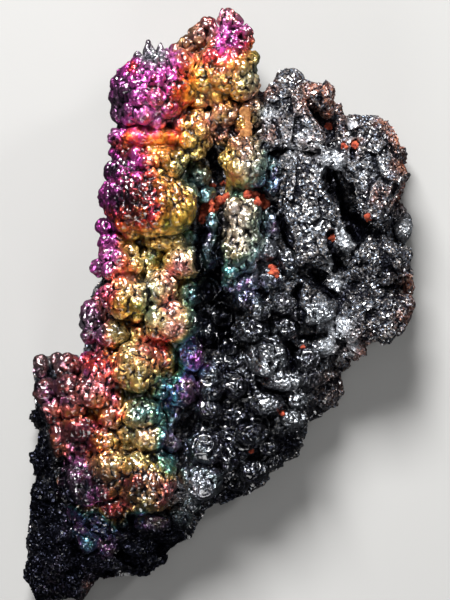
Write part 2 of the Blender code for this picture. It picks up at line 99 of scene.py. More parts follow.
# Each lump is x, y, z of its middle, then its half width and half length, in millimetres.
# A lump's half height is the geometric mean of the two.
LUMPS = {
    "spires": (
        (2.5, 84, 28, 2.5, 5.5), (4.8, 83, 28, 1.6, 5), (8, 80.5, 28, 1.5, 4.5),
    ),
    "crown": (
        (-20, 64, 29.5, 12, 9.5), (-29, 63, 29, 4, 4.5), (-30.5, 58, 28, 2.5, 3),
        (-27, 69, 31, 3.5, 3), (-19, 71.5, 30, 5.5, 4.5), (-11.5, 71.5, 31, 4, 5),
        (-11.5, 63.5, 32, 4.5, 4), (-21, 58, 32, 9.5, 4),
    ),
    "neck": (
        (-21, 50.5, 29.5, 11, 4), (-31, 50.5, 28, 2.5, 3), (-30.5, 46.5, 26, 2.5, 2.5),
    ),
    "shoulder": (
        (-18, 43, 30, 8, 6), (-26.5, 42.5, 29, 6, 5.5), (-11, 56.5, 29, 3.5, 3.5),
        (-8.5, 51.5, 29, 5, 7.5), (-32.5, 40, 25, 2.5, 3),
    ),
    "big_lump": (
        (-21, 30.5, 30, 13.5, 10), (-32, 33, 27, 4.5, 5), (-15.5, 28, 32, 8, 7),
        (-26.5, 35, 34, 6.5, 5), (-35, 24, 24, 2.5, 2.5), (-34, 19, 25, 2.5, 2.5),
    ),
    "waist": (
        (-16.5, 19, 29, 7, 2.5), (-30, 19, 26, 5, 2.5), (-20.5, 15.5, 28, 3.5, 2.5),
    ),
    "twins": (
        (-30, 12.5, 31, 6, 5.5), (-36.5, 11.5, 25, 2.5, 2.5), (-22, 12.5, 29, 3.5, 3.5),
        (-11, 13, 31, 5.5, 5),
    ),
    "bulge": (
        (-28, 2.5, 32, 7, 6.5), (-18, 5, 32, 5, 5.5), (-9.5, 3.5, 27, 3.5, 4),
        (-35, 2, 25, 3, 3.5),
    ),
    "side": (
        (-38.5, -4, 26, 3.5, 6), (-39.5, -9, 26, 2.5, 2.5), (-32, -8.5, 31, 5, 4),
        (-14.5, -5, 32, 8, 5.5), (-24, -8, 29, 4, 3.5), (-19.5, -12.5, 28, 3.5, 2.5),
    ),
    "middle": (
        (-25, -18.5, 32, 7, 7.5), (-26, -14.5, 35, 4, 3.5), (-23, -20, 35, 4, 3.5),
        (-16.5, -15.5, 29, 3.5, 3.5), (-9, -15, 28, 4, 5), (-18, -24.5, 30, 3.5, 3.5),
        (-11.5, -25, 28, 4.5, 5.5),
    ),
    "pink": (
        (-36, -21, 30, 5, 6), (-34, -15.5, 28, 3.5, 3.5), (-38, -26, 32, 5, 4.5),
        (-39.5, -17, 27, 3, 3), (-33, -29, 29, 4, 4),
    ),
    "shelf": (
        (-54.5, -18.5, 20, 2, 3.5), (-49.5, -16.5, 19, 2, 2), (-46, -18.5, 23, 3.5, 4),
        (-52.5, -26, 22, 3.5, 3.5), (-45.5, -24.5, 27, 4, 4), (-50.5, -32, 22, 3.5, 4),
        (-43.5, -30, 29, 4, 3.5), (-49, -39.5, 21, 2.5, 6.5), (-41.5, -36.5, 27, 6, 4.5),
        (-32.5, -33, 30, 4, 4), (-42.5, -42.5, 24, 5.5, 3), (-35, -40.5, 28, 5, 4.5),
    ),
    "inner": (
        (-23.5, -32.5, 31, 6, 5), (-21, -39.5, 31, 5.5, 4), (-28, -38, 28, 3.5, 3.5),
        (-20, -44.5, 29, 3.5, 2.5),
    ),
    "foot": (
        (-33.5, -48.5, 30, 6, 5), (-42, -53.5, 27, 6.5, 6.5), (-34.5, -55, 28, 4.5, 4),
        (-22.5, -53.5, 28, 8.5, 8.5), (-24.5, -48.5, 32, 5.5, 4), (-21, -58, 33, 5.5, 3),
        (-17, -49, 31, 3.5, 4), (-32.5, -60.5, 26, 4, 3.5), (-39, -59.5, 24, 3.5, 3),
    ),
    "gold_top": (
        (1.5, 71, 29, 9.5, 8.5), (6.5, 66.5, 31, 5.5, 5), (-4.5, 68, 31, 4.5, 5),
        (1, 78, 28, 5, 6), (-1, 63, 30, 4, 3.5), (-6, 62.5, 29, 4, 4),
    ),
    "brown_top": (
        (-3.4, 84.4, 22, 2.6, 3.0), (-6.2, 81.6, 21.5, 3.2, 3.2), (-9.2, 79.0, 20.5, 3.2, 2.8),
        (-12.4, 76.4, 20, 3.2, 2.8), (-15, 74, 20, 3.5, 3),
    ),
    "ochre": (
        (1.5, 57.5, 30, 4.5, 4), (9.5, 58, 28, 4, 5), (7, 54.5, 29, 3, 5),
        (1.5, 51.5, 28, 3.5, 3.5), (-3.5, 55, 29, 3.5, 3.5), (12, 50.5, 25, 2.5, 5),
    ),
    "gold_column": (
        (7.5, 43, 31, 6.5, 8.5), (6, 26.5, 31, 6, 6.5), (5, 17, 30, 6.5, 7.5),
        (6.5, 7.5, 27, 6, 4),
    ),
    "teal": (
        (15.5, 39.5, 26, 3, 6.5), (15.5, 25, 26, 2.5, 5), (14, 17, 26, 3, 3.5),
        (15, 8, 27, 3.5, 3.5), (20.5, 13, 25, 3, 4),
    ),
    "valley": (
        (-6.5, 39.5, 26, 3.5, 3.5), (-4, 33.5, 26, 2.5, 2.5), (-1.5, 25, 27, 2.5, 3.5),
        (-3.5, 17.5, 24, 4, 6.5), (-9, 20, 26, 2.5, 2.5), (-4, 5, 22, 3.5, 3.5),
        (0.5, -2.5, 23, 3, 3.5), (2.5, -11.5, 23, 3, 3.5), (-4, -8.5, 21, 3, 3.5),
    ),
    "knobs": (
        (8, 2, 27, 4, 3.5), (11.5, -1.5, 28, 4, 3.5), (9, -7.5, 28, 5.5, 3.5),
        (19, 0.5, 28, 3.5, 3.5), (19.5, -7, 27, 4, 3.5), (28, -2.5, 29, 6.5, 3),
        (14.5, -16, 31, 6, 5.5), (19, -23, 30, 6.5, 2.5), (23, -28, 29, 2.5, 3),
        (14, -29.5, 30, 5, 3.5), (22, -34, 31, 3.5, 2.5), (6, -34, 27, 2.5, 2.5),
        (9.5, -38.5, 28, 5, 3.5), (14.5, -42.5, 26, 3, 2.5), (-3, -23.5, 28, 4, 6),
        (-3.5, -31, 28, 4, 3), (4.5, -24.5, 27, 3.5, 3.5), (-4.5, -43, 28, 6, 5),
        (2.5, -46, 26, 3, 4), (-5, -53, 28, 5.5, 5.5), (10, -50, 23, 4.5, 3.5),
        (5.5, -54, 18, 3.5, 2.5), (15.5, -47, 19, 3.5, 2.5), (-14.5, -41.5, 28, 2.5, 2.5),
        (-15, -46, 25, 2.5, 2), (-10, -51.5, 23, 2.5, 2.5), (26.5, -16, 27, 3.5, 3.5),
        (27.5, -21.5, 26, 3.5, 3), (3, -17.5, 22, 3.5, 3.5),
    ),
    "lower_ledge": (
        (-12, -64, 20, 3.5, 3.5), (-19.5, -65.5, 21, 5.5, 2.5), (-8.5, -60, 20, 3, 2.5),
        (-29.5, -66.5, 20, 4, 3.5), (-38, -65, 19, 3.5, 2.5), (-45, -63, 15, 2, 2.5),
        (-42.5, -67, 15, 2.5, 3), (-40.5, -71.5, 15, 2.5, 3.5), (-48, -70.5, 12, 3, 3),
        (-33.5, -71.5, 17, 3.5, 4), (-25, -72.5, 17, 5, 3.5), (-16.5, -69.5, 17, 4.5, 3),
        (-22.5, -77, 14, 6, 2.5), (-34.5, -78, 13, 6.5, 3), (-51, -80.5, 10, 5, 5),
        (-47.5, -76, 11, 4, 4),
    ),
    "left_edge": (
        (-53.5, -28, 10, 2.5, 9), (-54, -46, 9, 2.5, 9), (-55, -58, 8, 2.5, 6),
        (-56, -70, 8, 2, 6), (-56.5, -83, 8, 2, 4),
    ),
    "nubs": (
        (21, 68, 25, 4, 3.5), (29, 63.5, 24, 5, 4.5), (32.5, 59.5, 23, 2.5, 3.5),
        (16.5, 63.5, 27, 3.5, 4),
    ),
    "right_rim": (
        (56, 23, 19, 2.5, 3.5), (55, 41, 18, 2, 3.5), (53.5, 35, 18, 2, 2.5),
        (57.5, 7, 15, 1.5, 4),
    ),
    "lobes": (
        (33.5, 44, 28, 6, 3), (41, 53, 27, 6, 2.5), (48, 13, 21, 10, 7), (46, -2, 20, 11.5, 9),
        (38, 20, 25, 4, 5), (37.5, -7, 26, 5, 4), (32.5, -11.5, 25, 4, 3.5),
        (39.5, -13.5, 22, 4, 3), (31, 1, 27, 3.5, 3.5),
    ),
    "lower_right": (
        (32, -26, 14, 4.5, 5), (19.5, -41.5, 15, 5, 5.5), (27, -32.5, 13, 3.5, 2.5),
    ),
}

# The outlines of the slabs of broken rock and of the grown cores.
BROKEN_EDGE = (
    (-7.5, 79), (9, 74), (12.5, 66), (21, 69.5), (33.5, 67), (38, 59), (51.5, 57.5), (54, 53),
    (57, 43), (56, 35.5), (55, 31.5), (59, 24.5), (56, 17.5), (59.5, 9.5), (60, 5.5), (58, -2),
    (54.5, -6), (43.5, -13), (37.5, -20), (38, -26.5), (35, -30.5), (26.5, -35.5), (24, -46),
    (16, -51.5), (13, -55), (1.5, -60), (-5, -62.5), (-8.5, -71), (-13, -73), (-19, -79),
    (-22, -82), (-37, -83.5), (-42, -90), (-56.5, -90.5), (-60, -84.5), (-58.5, -74.5), (-59, -67),
    (-57.5, -56.5), (-56, -49), (-57, -33.5), (-57, -20), (-53, -15), (-42.5, -16), (-39, 2),
    (-36, 11), (-35, 30), (-32, 47), (-31, 62), (-21, 74),
)
BED_EDGE = (
    (-6, 76), (7, 72), (12, 64), (24, 64), (33, 59), (49, 54), (53, 40), (52, 24), (54, 8),
    (50, -8), (35, -15), (33, -27), (22, -36), (16, -46), (2, -55), (-9, -63), (-17, -70),
    (-33, -73), (-44, -68), (-47, -56), (-48, -38), (-46, -24), (-37, -16), (-34, 4), (-31, 20),
    (-31, 38), (-29, 50), (-27, 64), (-18, 72),
)
LEFT_CORE = (
    (-30, 71), (-12, 74), (-9, 62), (-8.5, 47), (-9.5, 23), (-8.5, 2), (-7.5, -10), (-9, -28),
    (-16.5, -43), (-16.5, -58), (-28, -61), (-43, -58), (-47, -49), (-48, -28), (-42, -21),
    (-37.5, -19), (-37.5, -7), (-36, 2), (-33, 8), (-32.5, 32), (-31.5, 47),
)
MIDDLE_CORE = (
    (-4.5, 74), (8.5, 74), (11.5, 59), (11, 50), (11.5, 35), (10.5, 14), (9, 5), (1.5, 5),
    (1.5, 32), (2.5, 47), (-1.5, 53), (-4.5, 62),
)
KNOB_CORE = (
    (-6, -18), (12, -12), (24, -14), (28, -22), (22, -38), (8, -46), (-6, -56), (-9, -45),
    (-6, -30),
)
GREY_SLAB = (
    (14.5, 66.5), (24, 64), (30.5, 53.5), (33.5, 43), (29.5, 46), (19, 48), (12.5, 46), (13, 59),
)
RIB = ((18.5, 47), (24, 47), (33, 43), (35.5, 30.5), (35, 17), (29.5, 13), (24, 13), (19, 23.5))
RIGHT_BLOCK = (
    (35, 57), (50.5, 56), (54, 46), (54.5, 37), (52, 30), (47.5, 24), (42.5, 27), (40, 37),
    (35.5, 42.5),
)
SADDLE = (
    (12.5, 52), (30, 50), (37, 42.5), (40, 17), (44, -8), (36, -14), (24, -18), (12, -14), (8, -4),
    (10, 6), (12.5, 17),
)
SHELF = ((-56, -17.5), (-44, -17), (-44, -45), (-50, -47), (-53, -36))

# Each slab of broken rock is an outline, the heights of its underside and its top, and how far
# its shoulder slopes in.
PLATES = (
    (BROKEN_EDGE, UNDERSIDE, BASE_TOP, 2.5),
    (BED_EDGE, 2, BED_TOP, 2.5),
    (GREY_SLAB, ROOT, 32, 2.0),
    (RIB, ROOT, 30, 2.0),
    (RIGHT_BLOCK, 8, 30, 2.5),
    (SADDLE, 8, 24, 2.0),
    (SHELF, 8, 20, 1.0),
)

# The clusters in each skin.
UPPER_LEFT = ("spires", "crown", "neck", "shoulder", "big_lump", "waist")
LOWER_LEFT = ("twins", "bulge", "side", "middle", "pink", "shelf", "inner", "foot")
GOLDEN = ("gold_top", "brown_top", "ochre", "gold_column", "teal", "valley")
KNOBS = ("knobs",)
ROCK = ("lower_ledge", "left_edge", "nubs", "right_rim", "lobes", "lower_right")

# Small pointed spires on the crown and the gold top: x, y, z of the middle, half width, half
# length and how far the tip leans to the right.
SPIRES = (
    (-21.6, 75.8, 31, 1.5, 4.0, 0.0), (-18.0, 75.2, 32, 1.5, 3.7, 0.05),
    (-19.9, 74.6, 33, 1.25, 3.0, 0.0), (-16.2, 74.4, 32, 1.3, 2.9, 0.12),
    (-14.3, 73.2, 31, 1.1, 2.8, 0.2), (-24.5, 73.4, 31, 1.15, 2.9, -0.1),
    (-23.1, 72.6, 33, 1.0, 2.5, -0.05), (-26.7, 70.6, 31, 1.1, 2.5, -0.3),
    (-29.3, 68.0, 30, 1.1, 2.4, -0.5), (-18.8, 73.0, 35, 1.0, 2.0, 0.0),
    (-31.6, 65.6, 29, 1.0, 1.5, -0.5), (-12.2, 73.8, 31, 1.1, 2.3, 0.3),
    (7.6, 81.3, 29, 1.2, 3.4, 0.1), (4.6, 78.5, 31, 1.1, 2.5, 0.2),
    (9.6, 74.0, 30, 1.1, 2.5, 0.35), (0.8, 86.0, 29, 1.5, 3.6, 0.0),
    (3.3, 85.8, 29, 1.3, 3.3, 0.05), (10.2, 69.5, 30, 1.0, 1.8, 0.6),
)


# Shapes, as points in millimetres and faces.


def unit_ball(fineness):
    """The points and triangles of a ball of radius 1."""
    bm = bmesh.new()
    bmesh.ops.create_icosphere(bm, subdivisions=fineness, radius=1)
    points = np.array([vert.co for vert in bm.verts])
    faces = np.array([[vert.index for vert in face.verts] for face in bm.faces])
    bm.free()
    return points, faces


def lower_half(height, up):
    """How far a lump reaches below its middle: as round as its top, or drawn down to its root."""
    root = ROOT if up < BIG_LUMP else BIG_LUMP_ROOT
    return max(up, height - root)


def placed_ball(ball, centre, radii, down):
    """An ellipsoid with the given half widths, and its own depth below the middle."""
    points, faces = ball
    scaled = points * np.array(radii)
    scaled[:, 2] *= np.where(points[:, 2] < 0, down / radii[2], 1)
    return scaled + np.array(centre), faces


def knobs_on(lump):
    """The CAD's knobs, spread evenly over the upper half of a big lump."""
    x, y, z, across, along = lump
    up = math.sqrt(across * along)
    count = round(2 * math.pi * up * up / KNOB_AREA)
    for i in range(count):
        height = 1 - (i + 0.5) / count
        reach = math.sqrt(1 - height * height)
        turn = i * GOLDEN_ANGLE + x
        sunk = 0.84 + 0.08 * math.sin(7 * i + y)
        yield (
            x + sunk * across * reach * math.cos(turn),
            y + sunk * along * reach * math.sin(turn),
            z + sunk * up * height,
        )


def beads_on(lump, random):
    """Small beads of mixed size all over a lump, down to below its waist."""
    x, y, z, across, along = lump
    up = math.sqrt(across * along)
    count = round(3 * math.pi * up * up / BEAD_AREA)
    for i in range(count):
        height = 1 - 1.5 * (i + 0.5) / count
        reach = math.sqrt(1 - height * height)
        turn = i * GOLDEN_ANGLE + y
        size = random.uniform(*BEAD_RADII)
        out = 1 - size * random.uniform(0.45, 0.75) / up
        place = (
            x + out * across * reach * math.cos(turn),
            y + out * along * reach * math.sin(turn),
            z + out * up * height,
        )
        yield place, size


def keeps_knobs(place):
    """Whether knobs and beads grow here. The satin bands are smooth."""
    return patches(np.array([place]), SATIN)[0] < BARE_SATIN


def lump_shapes(names, beaded, seed):
    """Every lump of the named clusters, with its knobs and beads."""
    random = np.random.default_rng(seed)
    ball = unit_ball(4)
    small_ball = unit_ball(3)
    bead = unit_ball(2)
    for name in names:
        for lump in LUMPS[name]:
            x, y, z, across, along = lump
            up = math.sqrt(across * along)
            yield placed_ball(ball, (x, y, z), (across, along, up), lower_half(z, up))
            if up > KNOB_ON_RADIUS:
                for place in knobs_on(lump):
                    if not beaded or keeps_knobs(place):
                        yield placed_ball(small_ball, place, [KNOB_RADIUS] * 3, KNOB_RADIUS)
            if beaded and up > BEAD_ON_RADIUS:
                for place, size in beads_on(lump, random):
                    if keeps_knobs(place):
                        yield placed_ball(bead, place, [size] * 3, size)


def inward(outline, distance):
    """The outline moved in by a distance, square to the line between each corner's neighbours."""
    points = np.array(outline, float)
    along = np.roll(points, -1, axis=0) - np.roll(points, 1, axis=0)
    along /= np.linalg.norm(along, axis=1, keepdims=True)
    return points + np.stack((along[:, 1], -along[:, 0]), axis=1) * distance


def slab(outline, low, high, slope):
    """A slab with a sloping shoulder above and an edge drawn in below."""
    levels = ((low, 2 * slope), (low + 5, 0.4 * slope), (high - slope, 0), (high, slope))
    corners = len(outline)
    rings = [np.insert(inward(outline, inset), 2, height, axis=1) for height, inset in levels]
    faces = [range(corners), range(4 * corners - 1, 3 * corners - 1, -1)]
    for first in range(0, 3 * corners, corners):
        for i in range(corners):
            after = (i + 1) % corners
            faces.append((first + i, first + corners + i, first + corners + after, first + after))
    return np.concatenate(rings), [tuple(face) for face in faces]


def joined(name, shapes):
    """One mesh of all the shapes, in millimetres, still overlapping."""
    points = []
    faces = []
    shift = 0
    for shape_points, shape_faces in shapes:
        faces += [[int(corner) + shift for corner in face] for face in shape_faces]
        points.append(shape_points)
        shift += len(shape_points)
    mesh = bpy.data.meshes.new(name)
    mesh.from_pydata(np.concatenate(points), [], faces)
    mesh.update()
    return mesh


# Steps that turn the overlapping shapes into one detailed skin.


def apply_modifiers(obj):
    graph = bpy.context.evaluated_depsgraph_get()
    made = bpy.data.meshes.new_from_object(obj.evaluated_get(graph))
    obj.modifiers.clear()
    obj.data = made


def fused(name, shapes, voxel):
    """A new object: the shapes as one closed skin, still in millimetres."""
    obj = bpy.data.objects.new(name, joined(name, shapes))
    bpy.context.scene.collection.objects.link(obj)
    remesh = obj.modifiers.new("fuse", "REMESH")
    remesh.mode = "VOXEL"
    remesh.voxel_size = voxel
    apply_modifiers(obj)
    return obj


def thin(obj):
    triangles = sum(len(face.vertices) - 2 for face in obj.data.polygons)
    if triangles > MOST_TRIANGLES:
        decimate = obj.modifiers.new("thin", "DECIMATE")
        decimate.ratio = MOST_TRIANGLES / triangles
        apply_modifiers(obj)


def edge_ends(mesh):
    edges = np.empty(len(mesh.edges) * 2, np.int32)
    mesh.edges.foreach_get("vertices", edges)
    return edges.reshape(-1, 2)


def islands(mesh):
    """The number of the island that each point is on."""
    first, second = edge_ends(mesh).T
    island = np.arange(len(mesh.vertices))
    while True:
        lowest = np.minimum(island[first], island[second])
        merged = island.copy()
        for ends in (first, second, island[first], island[second]):
            np.minimum.at(merged, ends, lowest)
        merged = merged[merged]
        if (merged == island).all():
            return island
        island = merged


def drop_specks(obj):
    """Removes the tiny loose bits that meshing leaves behind."""
    island = islands(obj.data)
    size = np.bincount(island)[island]
    bm = bmesh.new()
    bm.from_mesh(obj.data)
    specks = [vert for vert in bm.verts if size[vert.index] < SPECK]
    bmesh.ops.delete(bm, geom=specks, context="VERTS")
    bm.to_mesh(obj.data)
    bm.free()


def read_vectors(items, field):
    values = np.empty(len(items) * 3)
    items.foreach_get(field, values)
    return values.reshape(-1, 3)


def points_and_normals(mesh):
    return read_vectors(mesh.vertices, "co"), read_vectors(mesh.vertex_normals, "vector")


def move_points(mesh, points):
    mesh.vertices.foreach_set("co", points.ravel())
    mesh.update()


def smoothstep(values, low, high):
    share = np.clip((values - low) / (high - low), 0, 1)
    return share * share * (3 - 2 * share)


# Large odd numbers that mix a cell's place and the salt well.
MIXERS = (73856093, 19349663, 83492791, 2654435761)
LAST_MIXERS = (1274126177, 2246822519)


def cell_random(cells, salt):
    """A number from 0 to 1 for each whole-number cell, the same on every run."""
    x, y, z, own = (value * mixer for value, mixer in zip((*cells.T, salt), MIXERS))
    mixed = x ^ y ^ z ^ own
    for shift, mixer in zip((13, 16), LAST_MIXERS):
        mixed = (mixed ^ (mixed >> shift)) * mixer & 0xFFFFFFFF
    return ((mixed ^ (mixed >> 15)) & 0xFFFFFF) / 0xFFFFFF


def grains(points, size, salt):
    """For each point, the distance to the nearest of many scattered grains, in grain sizes, the
    offset from that grain, and the grain's own random number."""
    scaled = points / size
    base = np.floor(scaled).astype(np.int64)
    nearest = np.full(len(points), np.inf)
    offset = np.zeros_like(points)
    own = np.zeros(len(points))
    for step in np.ndindex(3, 3, 3):
        cell = base + np.array(step) - 1
        jitter = np.stack([cell_random(cell, salt + k) for k in range(3)], axis=1)
        away = scaled - cell - jitter
        distance = np.einsum("ij,ij->i", away, away)
        closer = distance < nearest
        nearest[closer] = distance[closer]
        offset[closer] = away[closer]
        own[closer] = cell_random(cell[closer], salt + 3)
    return np.sqrt(nearest), offset, own


def domes(points, size, salt):
    """Rounded pimples of about the given size, from 0 in the creases to 1 on top."""
    distance = grains(points, size, salt)[0]
    return np.sqrt(np.clip(1 - (distance / 0.72) ** 2, 0, 1))


def waves(points, size, salt=1):
    """Smooth noise, from -1 to 1."""
    scaled = points / size
    base = np.floor(scaled).astype(np.int64)
    share = scaled - base
    share = share * share * (3 - 2 * share)
    total = np.zeros(len(points))
    for corner in np.ndindex(2, 2, 2):
        weight = np.prod(np.where(corner, share, 1 - share), axis=1)
        total += weight * cell_random(base + corner, salt)
    return 2 * total - 1


def lump_distance(points, names):
    """How far each point is outside the nearest lump of the clusters, in half widths."""
    nearest = np.full(len(points), np.inf)
    for name in names:
        for x, y, z, across, along in LUMPS[name]:
            up = math.sqrt(across * along)
            offset = (points - (x, y, z)) / (across, along, up)
            below = offset[:, 2] < 0
            offset[below, 2] *= up / lower_half(z, up)
            nearest = np.minimum(nearest, np.linalg.norm(offset, axis=1))
    return nearest


# Hollows and grooves cut into the skins: the two ends, the half width and the depth.
HOLLOWS = (
    (33.5, 38.5, 37.0, 31.0, 2.2, 5.0), (37.0, 31.0, 42.0, 21.0, 2.4, 6.0),
    (16.6, 30.5, 21.0, 18.5, 1.5, 3.5), (13.0, 47.6, 19.5, 47.2, 1.2, 1.8),
    (44.5, 4.6, 54.5, 5.6, 0.45, 1.0), (40.4, 49.0, 39.8, 44.5, 0.9, 2.2),
    (33.0, 21.5, 36.0, 12.0, 1.6, 3.0), (-3.0, 7.0, 2.0, -2.0, 3.0, 5.0),
    (2.0, -2.0, 1.0, -11.0, 3.0, 5.0), (-5.5, 29.0, -6.5, 12.0, 1.6, 4.0),
    (0.5, 30.0, -0.5, 8.0, 1.2, 3.5), (-2.5, 46.0, 0.0, 37.0, 1.2, 3.0),
    (23.0, 6.0, 24.0, -6.0, 1.3, 3.0), (20.0, -12.0, 22.0, -19.0, 1.3, 3.0),
    (11.0, -24.0, 17.0, -26.5, 1.0, 2.5), (-48.0, -48.0, -46.0, -60.0, 2.0, 3.0),
    (24.5, -10.0, 31.0, -8.5, 0.9, 2.0), (28.0, 10.0, 34.0, 2.5, 1.2, 2.5),
)


def hollowness(points):
    """How deep each point is in a hollow, and how much of the hollow's depth that is."""
    depth = np.zeros(len(points))
    share = np.zeros(len(points))
    wander = np.stack([1.2 * waves(points, 3.5, salt) for salt in (71, 73)], axis=1)
    flat = points[:, :2] + wander
    for x0, y0, x1, y1, wide, deep in HOLLOWS:
        start, along = np.array((x0, y0)), np.array((x1 - x0, y1 - y0))
        place = np.clip((flat - start) @ along / (along @ along), 0, 1)
        away = np.linalg.norm(flat - start - place[:, None] * along, axis=1)
        inside = smoothstep(-away, -1.5 * wide, -0.5 * wide)
        depth = np.maximum(depth, deep * inside)
        share = np.maximum(share, inside)
    return depth, share


def sink(obj):
    """Sinks the hollows into a skin, no lower than the base."""
    points, normals = points_and_normals(obj.data)
    depth, _ = hollowness(points)
    upward = smoothstep(np.clip(normals[:, 2], 0, 1), 0, 0.5)
    points[:, 2] -= np.minimum(depth, np.maximum(points[:, 2] - BASE_TOP, 0)) * upward
    move_points(obj.data, points)


def pimple(obj, wrinkled):
    """Covers a grown skin with pimples, or with folds where it is wrinkled. They are lower on
    the side that faces the foot, and in the satin bands."""
    points, normals = points_and_normals(obj.data)
    rough = 0.45 + 0.55 * smoothstep(normals[:, 1], -0.85, -0.1)
    warped = points + np.stack([waves(points, 3.0, salt) for salt in (5, 6, 7)], axis=1)
    if wrinkled:
        folds = 1 - np.abs(waves(warped, 2.2, 17)) * 2
        height = 0.3 * domes(warped, 3.0, 11) + 0.8 * folds - 0.5
    else:
        drawn = points * DRAWN_OUT
        height = 0.35 * domes(drawn, 2 * PIMPLE, 11) + 0.65 * domes(drawn, PIMPLE, 29)
        height += 0.5 * waves(points, 5.0, 37) - 0.5
    seen = smoothstep(points[:, 2], BASE_TOP - 1, BASE_TOP + 2) * (1 - 0.7 * patches(points, SATIN))
    move_points(obj.data, points + normals * (seen * rough * height)[:, None])


# Broken faces: the size of each in millimetres, how steeply it tilts and how far it steps.
BREAKS = ((8.0, 0.17, 0.04), (3.0, 0.14, 0.03), (1.0, 0.28, 0.12))


def break_rock(obj):
    """Breaks the rock into tilted faces of three sizes, the smallest a crystal across."""
    points, normals = points_and_normals(obj.data)
    seen = smoothstep(points[:, 2], 0.5, 4)
    rise = np.zeros(len(points))
    for salt, (size, tilt, step) in enumerate(BREAKS):
        _, offset, own = grains(points, size, 10 * salt + 41)
        lean = np.stack((np.sin(own * 40), np.cos(own * 57), np.sin(own * 91)), axis=1)
        rise += size * (tilt * np.einsum("ij,ij->i", offset, lean) + step * (own - 0.5))
    moved = points + normals * (seen * rise)[:, None]
    moved[:, 2] = np.maximum(moved[:, 2], 0)
    move_points(obj.data, moved)


# What the material reads at each point.


def smoothed(points, edges, rounds):
    count = np.bincount(edges.ravel(), minlength=len(points)).astype(float)
    for _ in range(rounds):
        total = np.zeros_like(points)
        for axis in range(3):
            total[:, axis] = np.bincount(edges[:, 0], points[edges[:, 1], axis], len(points))
            total[:, axis] += np.bincount(edges[:, 1], points[edges[:, 0], axis], len(points))
        points = total / count[:, None]
    return points


def relief(mesh, rounds):
    """How far each point stands out of the surface around it, in millimetres."""
    points, normals = points_and_normals(mesh)
    flat = smoothed(points, edge_ends(mesh), rounds)
    return np.einsum("ij,ij->i", points - flat, normals)


def store(mesh, name, values):
    data = mesh.attributes.new(name, "FLOAT", "POINT").data
    data.foreach_set("value", values.astype(np.float32))


